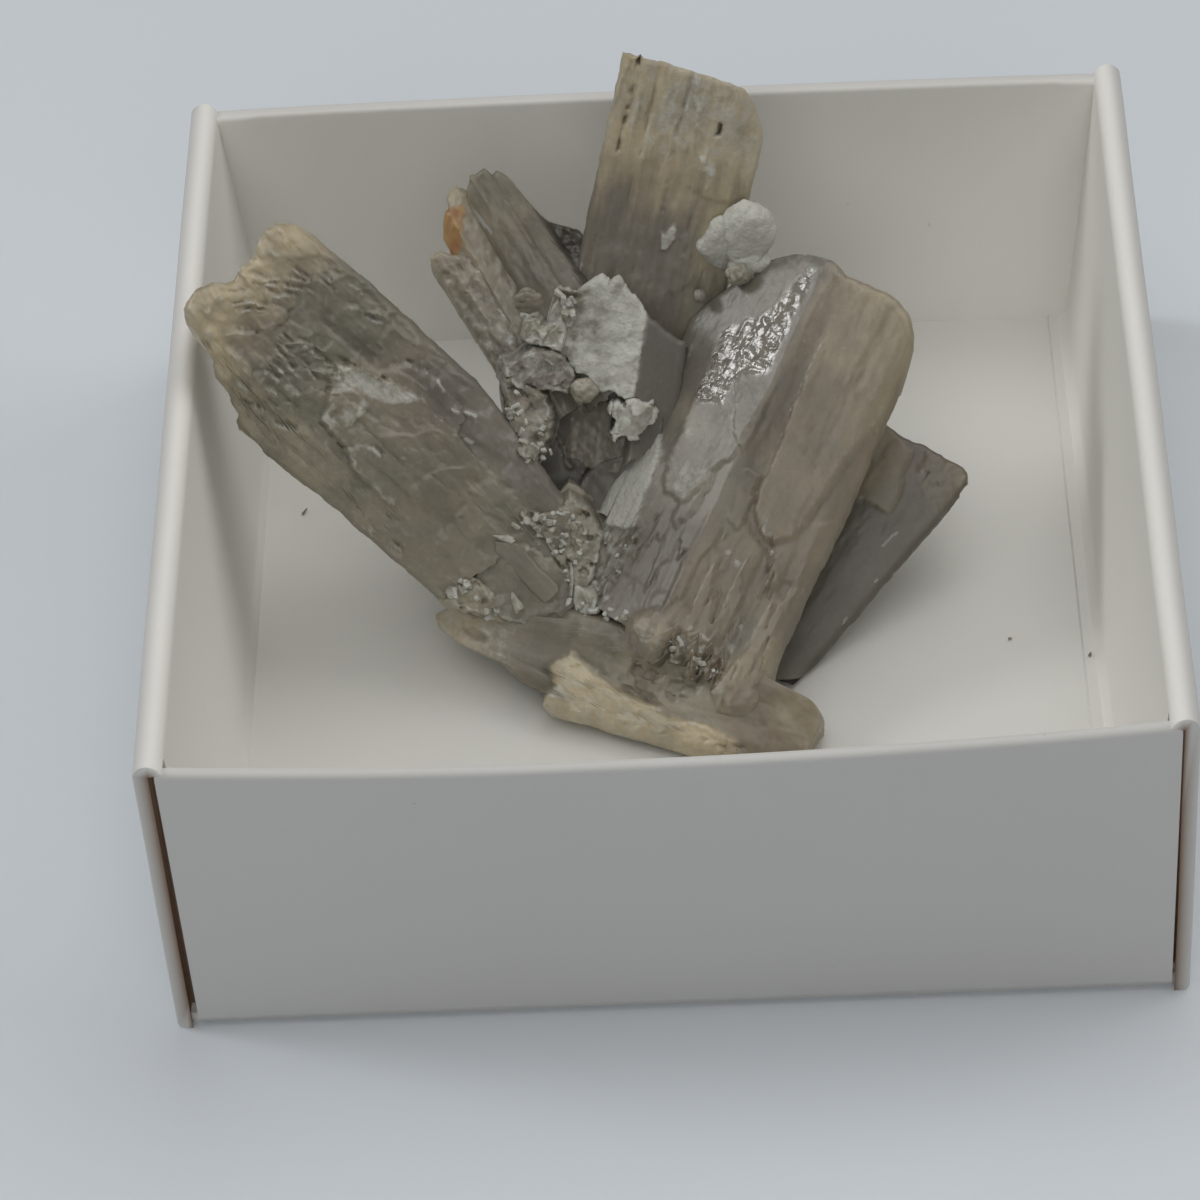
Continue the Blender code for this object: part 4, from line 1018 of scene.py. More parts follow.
def right_carving(u, s):
    """A roof: a glossy cracked left slope, a smooth right slope with a long tongue, and split ends."""
    low = 1 - ramp(s, 5.0, 7.0)
    height = soft_columns(u, s, 500, 0.35) + 0.09 * low * blades(u, s, 0.6, 4.0, 505, 0.12)
    height += 0.03 * low * chips(u, s, 0.7, 1.4, 506)
    tongue = plate(u, s, [(0.9, 19), (1.25, 13), (1.45, 10.0), (1.5, 8.5), (1.7, 7.4), (2.2, 6.75),
                          (2.75, 6.45), (3.3, 6.4), (4.05, 7.0), (4.3, 8.5), (4.55, 10.0), (4.9, 11.8),
                          (5.2, 13), (5.4, 19)], 510, 0.08, 0.25)
    height += 0.3 * tongue * (1 - ramp(s, 11.0, 17.5))
    left_step = plate(u, s, [(-2.7, 19), (-2.9, 10.8), (-2.75, 8.6), (-2.5, 7.0), (-2.2, 6.6), (-1.7, 6.5),
                             (-1.2, 6.2), (-0.7, 7.4), (-0.3, 8.6), (0.1, 9.3), (0.2, 19)], 511, 0.14, 0.25)
    inner = plate(u, s, [(-1.6, 12.3), (-1.0, 11.2), (-0.6, 10.1), (0.3, 9.25), (0.6, 19), (-1.6, 19)], 519,
                  0.1)
    pale = plate(u, s, [(-5.4, 8.3), (-4.4, 8.6), (-3.4, 9.0), (-2.95, 8.0), (-2.75, 6.9), (-2.8, 6.0),
                        (-2.4, 4.8), (-3.6, 4.3), (-5.4, 4.6)], 512, 0.12, 0.15)
    height += 0.13 * left_step * (1 - ramp(s, 9.0, 13.0)) + 0.06 * inner * (1 - ramp(s, 11.5, 13))
    height += 0.12 * pale
    spur = plate(u, s, [(-1.4, 7.0), (-1.4, 5.7), (-1.0, 5.25), (-0.5, 6.2), (-0.3, 8.0), (-0.6, 8.3)], 513,
                 0.12, 0.25)
    low_plate = plate(u, s, [(2.9, 7.0), (3.3, 5.6), (3.65, 4.5), (4.0, 4.8), (4.4, 5.1), (5.6, 5.45),
                             (5.6, 9)], 514, 0.12, 0.3)
    small = plate(u, s, [(0.5, 7.7), (0.8, 6.7), (1.5, 6.1), (1.7, 7.0), (1.5, 9), (0.5, 9)], 515, 0.12,
                  0.25)
    height += 0.14 * spur + 0.10 * low_plate * (1 - tongue) + 0.10 * small * (1 - tongue)
    knob = plate(u, s, [(-1.4, 1.6), (-1.3, 0.7), (-0.6, -0.2), (0.5, -0.2), (1.1, 0.6), (1.1, 1.5),
                        (-0.2, 2.4)], 517, 0.15, 0.8)
    block = plate(u, s, [(-3.9, 2.0), (-3.8, 0.3), (-2.8, 0.4), (-2.7, 1.9), (-3.3, 2.1)], 518, 0.12, 0.2)
    lobe = (1 - ramp(s, 0.8, 4.6)) * ramp(u - 0.25 * np.clip(s, 0, 2), 3.25, 3.75)
    height += 0.35 * knob + 0.15 * block + lobe * (0.3 + 0.15 * (np.clip(u, 3.4, 5.6) - 3.7))
    height += lobe * (0.14 * layered(u / 0.6, s / 0.8, seed=535) - 0.6 * rounded(s + 0.9, 0.9))
    height += 0.12 * knob * chips(u, s, 0.9, 0.9, 536)
    ends = (1 - ramp(s, 0.7, 2.2)) * ramp(u, 0.3, 0.9) * (1 - ramp(u, 3.4, 3.8))
    height += ends * (0.22 * chips(u, s, 0.5, 0.8, 532) + 0.08 * chips(u, s, 0.22, 0.3, 533))
    cracks = ridge(u, s, 0.07, [(0.75, 0.3), (0.9, 1.2)], [(2.5, 0.1), (2.45, 1.2)],
                   [(-2.6, 5.0), (-2.7, 1.4)], [(-1.9, 6.0), (-2.1, 3.2)], [(-3.6, 4.6), (-3.5, 2.4)])
    under = ridge(u, s, 0.09, [(1.6, 7.0), (2.3, 6.5), (2.9, 6.2), (3.3, 5.7), (3.5, 5.0), (3.7, 4.6)])
    faint = ridge(u, s, 0.12, [(0.95, 5.0), (1.0, 1.6)], [(3.75, 4.0), (3.7, 1.6)],
                  [(-0.9, 4.5), (-1.0, 2.0)])
    height -= 0.10 * cracks + 0.06 * under + 0.04 * faint
    flaky = plate(u, s, [(-5.2, 4.6), (-2.2, 5.0), (-1.8, 3.2), (-2.0, 0.4), (-5.2, 0.4)], 525, 0.3, 0.5)
    height += 0.09 * flaky * (chips(u, s, 0.3, 0.6, 526) + layered(u / 0.25, s / 0.4, seed=530))
    # The glossy zone is a mosaic of small facets that lean every way, calmer towards the top
    shine = plate(u, s, [(-0.15, 17.8), (-1.0, 17.7), (-1.4, 15.6), (-2.9, 14.2), (-3.0, 12.8),
                         (-2.9, 10.6), (-1.4, 10.9), (-1.3, 12.2), (-0.1, 12.8)], 520, 0.2, 0.3)
    dx, dy, number, rim = cells(u / 0.52, s / 0.42, seed=521)
    turn = 2 * math.pi * number
    tilt = (0.25 + 0.75 * np.modf(number * 5.0)[0]) * (1 - 0.55 * ramp(s, 13.5, 15.5))
    height += 0.055 * shine * tilt * (dx * np.cos(turn) + dy * np.sin(turn))
    height -= 0.03 * shine * (1 - ramp(rim, 0, 0.16))
    edge_line = ridge(u, s, 0.08, [(-3.9, 12.9), (-3.6, 11.5)], [(0.55, 14.8), (0.6, 13.6)],
                      [(-1.55, 12.1), (-0.95, 11.1), (-0.6, 10.1)])
    # The spots' pale frost is a painted glint; their gloss below is a real shine
    glint_spots = ridge(u, s, 0.12, [(1.5, 5.4), (1.6, 5.4)], [(2.0, 5.15), (2.15, 5.1)],
                  [(3.2, 6.1), (3.2, 6.0)],
                  [(2.0, 1.8), (2.4, 1.65)], [(2.3, 1.3), (2.35, 1.2)], [(3.4, 2.8), (3.45, 2.75)],
                  [(3.4, 1.9), (3.4, 1.8)], [(-2.35, 9.4), (-2.3, 9.3)], [(1.45, 1.9), (1.45, 1.8)],
                  even=True)
    tips = plate(u, s, [(2.0, 7.4), (2.0, 6.9), (2.8, 6.5), (3.0, 7.0), (2.6, 7.6)], 527, 0.2, 0.3)
    flecks = plate(u, s, [(-1.9, 8.3), (-2.3, 6.9), (-1.6, 6.6), (-1.2, 6.4), (-0.7, 7.6), (-0.8, 8.3)],
                   528, 0.2, 0.3)
    tongue_groove_shade = ramp(u, 0.05, 0.3) * (1 - ramp(u, 0.9, 1.5)) * ramp(s, 7.5, 9.0) * (1 - ramp(s, 15.0, 17.5))
    right = ramp(u, -0.1, 0.3)
    cloud = layered(u / 1.1, s / 1.6, seed=531)
    tan = right * (0.18 + 0.15 * tongue) + 0.4 * knob + 0.12 * cloud + 0.4 * lobe
    low_right = right * (1 - ramp(s, 12.5, 15.5))
    misty = (1 - ramp(u + 0.3 * cloud, -3.2, -1.6)) * (1 - ramp(s, 8.0, 9.5))
    frost = 0.5 * pale + 0.5 * edge_line + 0.55 * block + 0.2 * knob + 0.35 * tips + 0.4 * flecks
    frost += 0.08 * left_step * (1 - right)
    frost += 0.4 * flaky * ramp(layered(u / 0.4, s / 0.5, seed=529), 0.0, 0.5) + 0.2 * ramp(s, 16.5, 18.0)
    frost += 0.3 * ends * ramp(layered(u / 0.3, s / 0.4, seed=534), -0.1, 0.4)
    frost += 0.9 * glint_spots + 0.3 * misty + 0.2 * lobe
    rust = 0.06 * right + 0.14 * ramp(u, 1.5, 2.0) * (1 - ramp(u, 3.6, 3.9)) * (1 - ramp(s, 0.8, 1.8))
    # Painted light: rust near the right edge stands for light glowing through the thin edge
    rust += 0.12 * ramp(u, 4.4, 5.2) * ramp(s, 9, 12)
    violet = (1 - right) * (0.5 * ramp(s, 9.5, 12.0) + 0.15 * (1 - ramp(s, 4.0, 6.0))) + 0.1 * right * low
    # Painted shade: darker in the groove between the ridge and the tongue, in the cracks and in the crevice
    # under the tongue
    dark = 0.2 * tongue_groove_shade + 0.25 * cracks + 0.15 * under + 0.2 * ends * (1 - ramp(s, 0.3, 1.2))
    dark += 0.34 * low_right + 0.3 * low * (1 - right) * (1 - misty) + 0.1 * (1 - right) - 0.1 * lobe
    gloss = np.maximum(np.maximum(shine, glint_spots), 0.85 * ends)
    return height, {"tan": np.clip(tan, 0, 1), "violet": violet, "frost": np.clip(frost, 0, 1),
                    "rust": rust, "gloss": gloss, "streaky": 0.12 + 0.08 * low, "dark": dark}


def right_crystal(material):
    """The broad crystal on the right: a roof with a ridge, stepped plates and ragged lower ends."""
    return bundle(
        "right_crystal", RIGHT,
        tops=[(-5.1, 14.4), (-4.4, 15.3), (-3.7, 16.3), (-2.95, 17.4), (-1.8, 18.15), (-0.8, 18.4),
              (0.1, 18.4), (0.9, 18.1), (2.5, 18.2), (3.1, 18.1), (3.7, 17.75), (4.15, 17.2), (4.4, 16.6),
              (4.55, 15.6), (4.65, 14.6)],
        bottoms=[(-5.1, 4.9), (-4.45, 4.9), (-4.4, 0.9), (-3.2, 0.6), (-3.1, 1.2), (-1.5, 0.9),
                 (-1.35, 0.5), (-0.7, 0.05), (0.3, -0.1), (0.6, 0.5), (0.75, 0.2), (1.3, 0.45),
                 (1.45, 0.75), (1.6, 0.1), (1.95, 0.0), (2.1, 0.5), (2.3, 0.1), (2.5, 0.45), (2.65, -0.15),
                 (2.9, -0.2), (3.1, -0.45), (3.5, -1.0), (4.1, -1.05), (4.65, -0.5)],
        fronts=[(-5.1, -1.8), (-3.8, -1.25), (-2.3, -0.75), (-1.1, -0.35), (0.0, 0.0), (0.25, -0.05),
                (1.3, -0.45), (2.7, -0.9), (4.0, -1.35), (4.65, -1.7)],
        backs=[(-5.1, -2.8), (-3.6, -3.2), (-2.3, -4.0), (0.0, -4.5), (1.4, -4.5), (2.8, -4.1), (4.0, -3.4),
               (4.65, -3.0)],
        widen=([(0, 0.0), (18, 0.0)],
               [(-1, 0.4), (0.3, 0.6), (1.3, 0.5), (3, 0.25), (10, 0.22), (13, 0.1), (15, 0.0), (18, 0.0)]),
        carve=right_carving, material=material, seed=530, ragged=0.03, soft_tip=(0.4, 0.6),
        soft_side=(0.35, 0.45), edge_shade=0.15, groove_shade=0.25)


def low_right_carving(u, s):
    """A smooth violet body with a tan plate across its square end and pale streaks on its edge."""
    height = soft_columns(u, s, 600, 0.25)
    tongue = plate(u, s, [(-3.4, 11), (-2.0, 10.2), (-1.0, 9.9), (-0.75, 9.2), (-0.35, 8.1), (-0.2, 7.4),
                          (-0.2, 6.95), (-0.6, 6.85), (-1.4, 6.9), (-3.4, 6.0)], 611, 0.12, 0.25)
    corner = plate(u, s, [(-0.9, 11), (-0.6, 9.2), (0.1, 8.4), (0.8, 8.1), (2.0, 7.9), (2.0, 11)], 610, 0.2,
                   0.4)
    height += 0.12 * tongue + 0.06 * corner * (1 + chips(u, s, 0.4, 0.5, 612))
    hem = ridge(u, s, 0.16, [(-1.4, 8.9), (-0.8, 8.0), (-0.5, 7.3), (-0.35, 7.0)],
                [(0.2, 8.75), (0.9, 8.0)])
    # White streaks on the edge: pale stone, and partly a painted glint; they are glossy too
    white_glint_streak = ridge(u, s, 0.07, [(0.4, 6.6), (0.28, 5.7)], [(0.86, 4.5), (0.85, 4.35)],
                   [(0.85, 2.35), (0.84, 1.95)], [(-0.2, 9.35), (-0.15, 9.3)], even=True)
    olive = plate(u, s, [(-0.6, 8.4), (0.0, 6.4), (0.9, 7.2), (1.4, 8.0), (0.4, 8.6)], 613, 0.15, 0.3)
    shaded = plate(u, s, [(-3.4, 8.2), (-1.6, 8.0), (-0.9, 6.8), (-1.8, 5.0), (-3.4, 4.0)], 615, 0.2, 0.9)
    tan = np.clip(0.4 * tongue + 0.25 * corner + 0.4 * ramp(u, 0.9, 1.5) * ramp(s, 9.3, 10.0), 0, 1)
    frost = 0.95 * white_glint_streak + 0.2 * corner * ramp(layered(u / 0.5, s / 0.5, seed=614), 0, 0.5) + 0.25 * hem
    violet = 0.7 * (1 - ramp(s, 6.8, 8.0)) * ramp(s, -0.5, 1.5) * (1 - tongue)
    return height, {"tan": tan, "frost": frost, "violet": violet, "rust": 0.06, "gloss": white_glint_streak,
                    "dark": 0.46 + 0.12 * olive + 0.12 * shaded}


def low_right_crystal(material):
    """The dark crystal low on the right, with a square end and a sharp outer corner."""
    return bundle(
        "low_right_crystal", LOW_RIGHT,
        tops=[(-5.6, 8.0), (-4.0, 8.1), (-3.9, 9.7), (-2.6, 10.2), (-1.3, 10.25), (-0.8, 10.4),
              (0.4, 10.45), (1.1, 10.55), (1.4, 10.45), (1.6, 10.1)],
        bottoms=[(-5.6, -1.0), (-2.2, -1.2), (1.6, -1.5)],
        fronts=[(-5.6, 1.2), (-4.0, 1.0), (-2.1, 0.15), (-0.3, 0.0), (1.6, -0.3)],
        backs=[(-5.6, -1.6), (-3.9, -2.1), (-2.1, -2.3), (-0.3, -2.3), (1.6, -1.8)],
        widen=([(0, 0.0), (10, 0.0)],
               [(0, -0.95), (2.6, -0.65), (4, -0.5), (6.2, -0.32), (8.7, -0.1), (10, 0.0)]),
        carve=low_right_carving, material=material, seed=620, ragged=0.03, soft_tip=(0.15, 0.25),
        edge_shade=0.3)


def front_carving(u, s):
    """Cream crust along the lower edge, a smooth beige upper face and small pits."""
    height = soft_columns(u, s, 700, 0.4)
    cream = plate(u, s, [(-3.0, 1.6), (-3.0, 11.2), (-1.9, 11.05), (-1.2, 10.75), (-0.6, 11.2), (0.0, 10.9),
                         (0.4, 10.4), (0.0, 9.2), (-0.5, 8.0), (-0.6, 7.0), (-1.0, 5.5), (-0.8, 4.0),
                         (-1.3, 2.2), (-1.9, 1.6)], 710, 0.15, 0.35)
    height += cream * (0.28 + 0.14 * layered(u / 0.9, s / 1.1, seed=711))
    height += cream * (0.05 * layered(u / 0.3, s / 0.3, seed=718) + 0.06 * chips(u, s, 0.4, 0.5, 721))
    beige = plate(u, s, [(-0.4, 8.3), (0.2, 10.7), (1.9, 10.6), (1.9, 8.3), (1.0, 8.2)], 714, 0.15, 0.5)
    rough = plate(u, s, [(-0.9, 7.9), (-0.9, 5.6), (0.2, 4.2), (1.1, 4.4), (1.1, 7.9)], 712, 0.2, 0.4)
    worn = -0.12 + 0.16 * chips(u, s, 0.5, 0.6, 713) + 0.06 * layered(u / 0.3, s / 0.3, seed=719)
    height += 0.12 * beige + rough * worn
    pits = ridge(u, s, 0.16, [(-0.7, 7.3), (-0.5, 7.0)], [(-0.1, 7.9), (0.1, 7.6)])
    pinholes = ridge(u, s, 0.07, [(-1.75, 3.0), (-1.7, 2.7)], [(-1.55, 2.3), (-1.5, 2.1)], even=True)
    pits = np.maximum(pits, 0.7 * pinholes)
    end_lump = 0.1 * layered(u / 0.8, s / 0.8, seed=716) * (1 - ramp(s, 1.5, 3.0))
    notch = plate(u, s, [(0.0, 15.3), (-0.4, 14.8), (-0.4, 14.1), (0.1, 13.9), (0.3, 14.8)], 717, 0.1, 0.2)
    height += end_lump - 0.15 * pits - 0.12 * notch
    right_end = 1 - ramp(s, 1.5, 4.0)
    tan = 0.25 + 0.3 * (1 - ramp(s, 0.5, 3.0)) + 0.6 * ramp(s, 13.5, 15.0) + 0.9 * cream
    bits = ridge(u, s, 0.1, [(0.1, 14.2), (0.2, 14.0)], [(-0.6, 13.4), (-0.6, 13.1)],
                 [(1.1, 0.5), (1.25, 0.0)])
    frost = 0.36 * cream * ramp(s + layered(u / 0.6, s / 0.8, seed=720), 1.0,
                                7.0) + 0.2 * beige + 0.6 * bits
    frost += 0.35 * ramp(s, 11.5, 14.0)
    violet = 0.6 * ramp(s, 10.5, 12) * (1 - ramp(s, 13.5, 14.8))
    # Painted shade: the pits under the right crystal's foot are darkened
    dark = 0.35 * pits + 0.14 * rough + 0.15 * notch + 0.38 * right_end
    dark += 0.4 * (1 - cream) * ramp(s, 7.5, 9.0) * (1 - ramp(s, 11.5, 13.5))
    return height, {"tan": np.clip(tan, 0, 1), "frost": np.clip(frost, 0, 1), "violet": violet,
                    "rust": 0.15 * right_end, "dark": np.clip(dark, 0, 1)}


def front_crystal(material):
    """The plate that lies across the front, its right end on the floor."""
    return bundle(
        "front_crystal", FRONT,
        tops=[(-2.4, 10.5), (-2.1, 11.0), (-1.6, 11.0), (-1.4, 12.2), (-0.9, 13.2), (-0.6, 15.2),
              (-0.2, 16.3), (0.3, 16.6), (0.75, 16.1), (0.95, 15.2), (1.1, 14.0), (1.35, 12.5), (1.6, 11.2),
              (2.6, 10.9)],
        bottoms=[(-2.4, 2.6), (-2.1, 0.8), (-1.7, -0.1), (-1.0, -0.5), (0.0, -0.68), (0.8, -0.55),
                 (1.2, -0.1), (1.5, 1.5), (2.6, 7.0)],
        fronts=[(-2.4, -0.45), (-2.0, -0.25), (-1.0, -0.05), (0.4, 0.0), (1.3, 0.15), (1.9, 0.1),
                (2.6, -0.7)],
        backs=[(-2.4, -1.2), (-1.5, -1.4), (-0.4, -1.6), (1.4, -1.8), (1.9, -2.0), (2.6, -2.2)],
        carve=front_carving, material=material, seed=720, ragged=0.03, soft_tip=(0.25, 0.4),
        soft_side=(0.5, 0.6), veined=0.04)


# Crusts, lumps and small crystals

def crust(name, crystal, upper, lower, knots, relief, material, seed, sink=1.0, edge=0.3, wander=0.12,
          thick=0.5):
    """A patch over its neighbours: level with a few knots, and diving under them at its outline.

    The upper and the lower line bound it as the photograph shows it. Out: the height between the
    knots, plus the relief inside the outline, less the sink outside it.
    """
    outline = list(lower) + list(upper)[::-1]
    lean_u, lean_s = crystal.seen(0.0, 0.0, np.mean([knot[2] for knot in knots]))

    def carve(u, s):
        level = between(u + lean_u, s + lean_s, knots)
        seen_u, seen_s = crystal.seen(u, s, level)
        share = plate(seen_u, seen_s, outline, seed, wander, edge)
        height, masks = relief(seen_u, seen_s)
        return level + share * height - sink * (1 - share), masks

    deepest = min(knot[2] for knot in knots) - sink - thick
    left, right = upper[0][0] - lean_u - 0.1, upper[-1][0] - lean_u + 0.1
    lines = []
    for line, lift in ((upper, 0.15), (lower, -0.15)):
        places = [left] + [place - lean_u for place, _ in line[1:-1]] + [right]
        lines.append([(place, height - lean_s + lift) for place, (_, height) in zip(places, line)])
    return bundle(
        name, crystal, tops=lines[0], bottoms=lines[1], fronts=[(left, 0.0), (right, 0.0)],
        backs=[(left, deepest), (right, deepest)], carve=carve, material=material, seed=seed, ragged=0.05,
        soft_tip=(0.1, 0.2), soft_side=(0.1, 0.2), step=0.06)


def sugary(seed, size=0.36, pale=0.5, pitted=0.5, violet=0.4, tan=0.15, rough=1.0):
    """The relief of a crust of small crystals with pits between them, darkened as painted shade."""
    def relief(u, s):
        swell = 0.2 * layered(u / 0.9, s / 0.9, seed=seed)
        grains = chips(u, s, size, size, seed + 1)
        fine = chips(u, s, 0.5 * size, 0.5 * size, seed + 2)
        pits = pitted * ramp(layered(u / 0.35, s / 0.35, seed=seed + 3), 0.25, 0.5)
        patches = ramp(layered(u / 0.8, s / 0.8, seed=seed + 4), -0.2, 0.5)
        height = rough * (swell + (0.03 + 0.08 * patches) * grains + 0.03 * fine - 0.25 * pits)
        frost = pale * (0.3 + 0.7 * patches * ramp(grains + 0.5 * fine, -0.2, 0.9))
        # Painted shade: the pits are darkened
        return height, {"frost": frost, "dark": 0.45 * pits, "violet": violet, "tan": tan}
    return relief


def lumpy(seed, size=0.9, pale=0.4, violet=0.2, tan=0.2):
    """The relief of frosted lumps side by side."""
    def relief(u, s):
        humps = domes(u + 0.2 * layered(s / 0.6, seed=seed), s, size, seed + 1)
        height = 0.2 * humps + 0.06 * layered(u / 0.45, s / 0.45, seed=seed + 2)
        fine = chips(u, s, 0.22, 0.22, seed + 5)
        height += 0.14 * chips(u, s, 0.6 * size, 0.6 * size, seed + 4) + 0.04 * fine
        frost = pale * (0.5 + 0.8 * ramp(layered(u / 0.5, s / 0.5, seed=seed + 3), -0.3, 0.5))
        # Painted shade: darker between the lumps
        dark = 0.25 * (1 - ramp(humps, 0.0, 0.35))
        return height, {"frost": np.clip(frost, 0, 1), "dark": dark, "violet": violet, "tan": tan}
    return relief


def crusts(material):
    """The druse between the crystals: the patches where small crystals lie over the large ones' feet."""
    crust("upper_crust", MIDDLE,
          upper=[(-3.55, 7.2), (-3.2, 7.5), (-2.6, 7.4), (-2.0, 7.2), (-1.4, 6.9), (-1.1, 6.4),
                 (-0.95, 5.6)],
          lower=[(-3.55, 6.8), (-3.1, 5.2), (-2.6, 4.1), (-1.9, 3.4), (-1.45, 3.8), (-1.1, 4.6),
                 (-0.95, 5.0)],
          knots=[(-3.6, 7.2, 0.8), (-3.0, 5.4, 1.25), (-2.4, 4.1, 1.75), (-1.8, 3.6, 1.35),
                 (-1.2, 4.8, 0.3), (-1.3, 6.4, 0.0), (-2.4, 6.8, 0.5)],
          relief=sugary(910, 0.34, 0.5, 0.5, 0.5), material=material, seed=911, sink=1.3)
    crust("grey_lumps", MIDDLE,
          upper=[(-3.7, 7.9), (-3.3, 8.15), (-2.8, 8.6), (-2.2, 8.95), (-1.6, 8.9), (-1.0, 8.7),
                 (-0.5, 8.2), (-0.3, 7.6)],
          lower=[(-3.7, 7.4), (-3.2, 6.8), (-2.6, 6.6), (-2.0, 6.5), (-1.5, 6.8), (-1.0, 6.9), (-0.5, 6.8),
                 (-0.3, 7.2)],
          knots=[(-3.5, 7.7, 0.45), (-2.8, 7.8, 0.15), (-2.0, 8.4, -0.25), (-1.0, 8.1, -0.45),
                 (-1.8, 6.9, 0.0), (-0.6, 7.2, -0.5), (-3.0, 6.9, 0.8)],
          relief=lumpy(925, 0.8, 0.3, 0.5, 0.0), material=material, seed=926, sink=1.3)
    crust("lower_crust", MIDDLE,
          upper=[(-2.1, 1.6), (-1.9, 2.2), (-1.2, 2.0), (-0.6, 2.2), (-0.1, 2.95), (0.3, 2.85), (0.8, 2.5),
                 (1.3, 2.3), (1.9, 1.2)],
          lower=[(-2.1, 1.4), (-1.6, 1.0), (-0.9, 0.6), (-0.3, -0.4), (0.4, -1.0), (0.9, -1.4), (1.3, -1.6),
                 (1.6, -1.4), (1.9, 0.4)],
          knots=[(-2.0, 1.5, 1.7), (-1.5, 1.6, 1.5), (-0.7, 1.9, 1.2), (0.0, 2.8, 0.8), (0.5, 1.0, 0.95),
                 (1.3, 2.2, 0.15), (1.7, 0.8, 0.7), (0.3, -0.6, 1.15), (1.2, -0.9, 1.1), (1.5, -1.4, 1.2)],
          relief=sugary(920, 0.32, 0.6, 0.6, 0.3, 0.2), material=material, seed=921, sink=1.2)
    crust("white_block", MIDDLE,
          upper=[(0.7, -1.1), (0.85, -0.85), (1.3, -1.0), (1.7, -0.85), (2.0, -1.1)],
          lower=[(0.7, -1.7), (0.9, -2.2), (1.3, -2.15), (1.75, -2.3), (2.0, -1.9)],
          knots=[(0.9, -1.5, 1.45), (1.9, -1.5, 1.6)],
          relief=sugary(945, 0.5, 1.0, 0.1, 0.0, 0.1, 0.5), material=material, seed=946, sink=1.0,
          edge=0.15, wander=0.1)
    crust("frosted_masses", MIDDLE,
          upper=[(-3.2, 9.6), (-2.95, 10.1), (-2.4, 10.3), (-2.0, 10.0), (-1.6, 10.4), (-1.2, 10.5),
                 (-0.9, 9.9)],
          lower=[(-3.2, 9.0), (-2.6, 8.65), (-1.9, 8.6), (-1.4, 8.5), (-1.1, 8.4), (-0.9, 8.6)],
          knots=[(-3.0, 9.4, -0.8), (-2.2, 9.6, -0.55), (-1.2, 9.4, -0.6)],
          relief=lumpy(930, 0.8, 0.75, 0.0, 0.2), material=material, seed=931, sink=1.3)
    crust("white_lump", MIDDLE,
          upper=[(1.05, 6.6), (1.25, 7.0), (1.7, 6.95), (2.0, 7.3), (2.5, 7.1), (2.9, 7.2), (3.2, 6.6)],
          lower=[(1.05, 6.4), (1.3, 6.1), (1.15, 5.5), (1.6, 5.05), (2.1, 5.4), (2.5, 5.2), (2.8, 5.9),
                 (3.2, 6.3)],
          knots=[(1.3, 6.0, 0.15), (2.1, 6.3, 0.45), (3.0, 6.3, 0.1)],
          relief=sugary(940, 0.5, 1.5, 0.0, 0.0, 0.0, 0.4), material=material, seed=941, sink=1.3,
          edge=0.15, wander=0.25)
    crust("foot_mass", MIDDLE,
          upper=[(-3.5, -1.1), (-3.1, -0.5), (-2.6, 0.1), (-2.0, 0.6), (-1.1, 0.4), (-0.2, 0.1),
                 (0.7, -0.6), (1.1, -1.2)],
          lower=[(-3.5, -1.9), (-2.9, -2.6), (-2.2, -2.9), (-1.6, -3.1), (-0.9, -3.2), (-0.2, -3.2),
                 (0.7, -3.0), (1.1, -2.6)],
          knots=[(-3.0, -1.5, 1.6), (-2.0, -0.2, 1.85), (-0.5, -0.3, 1.4), (0.6, -1.2, 1.05),
                 (-2.0, -2.4, 1.45), (-0.3, -2.6, 1.3)],
          relief=sugary(955, 0.6, 0.25, 0.1, 0.35, 0.1, 0.5), material=material, seed=956, sink=0.9,
          edge=0.2)
    crust("foot_crust", LEFT,
          upper=[(-3.9, -0.6), (-3.5, -0.35), (-3.1, -0.1), (-2.8, -0.5), (-2.3, -0.35), (-2.1, -0.9)],
          lower=[(-3.9, -1.2), (-3.6, -2.0), (-3.3, -3.2), (-2.8, -3.4), (-2.3, -3.0), (-2.1, -1.6)],
          knots=[(-3.6, -0.8, -0.35), (-2.6, -0.8, -0.05), (-2.9, -2.8, -0.4), (-2.2, -1.6, -0.15)],
          relief=sugary(950, 0.34, 0.7, 0.4, 0.0, 0.4), material=material, seed=951, sink=0.9, wander=0.2)


def splinter(name, crystal, start, end, wide, thick, material, seed, masks, point=0.35):
    """A thin lath between two places (across, along, out) of a crystal's frame, cut slantwise at its tip."""
    foot, tip = (crystal.point(*place) - (0.0, CENTRE_SHIFT, 0.0) for place in (start, end))
    long, half = np.linalg.norm(tip - foot), wide / 2

    def carve(u, s):
        return 0.05 * layered(u / 0.5, s / 1.2, seed=seed), masks

    return bundle(
        name, Crystal(foot, tip, crystal.front),
        tops=[(-half, long - point), (-0.3 * half, long), (half, long - 2 * point)],
        bottoms=[(-half, 0.0), (half, 0.0)],
        fronts=[(-half, -0.06), (0.2 * half, 0.0), (half, -0.15)], backs=[(-half, -thick), (half, -thick)],
        carve=carve, material=material, seed=seed, soft_side=(0.08, 0.12), soft_tip=(0.05, 0.1), step=0.06)


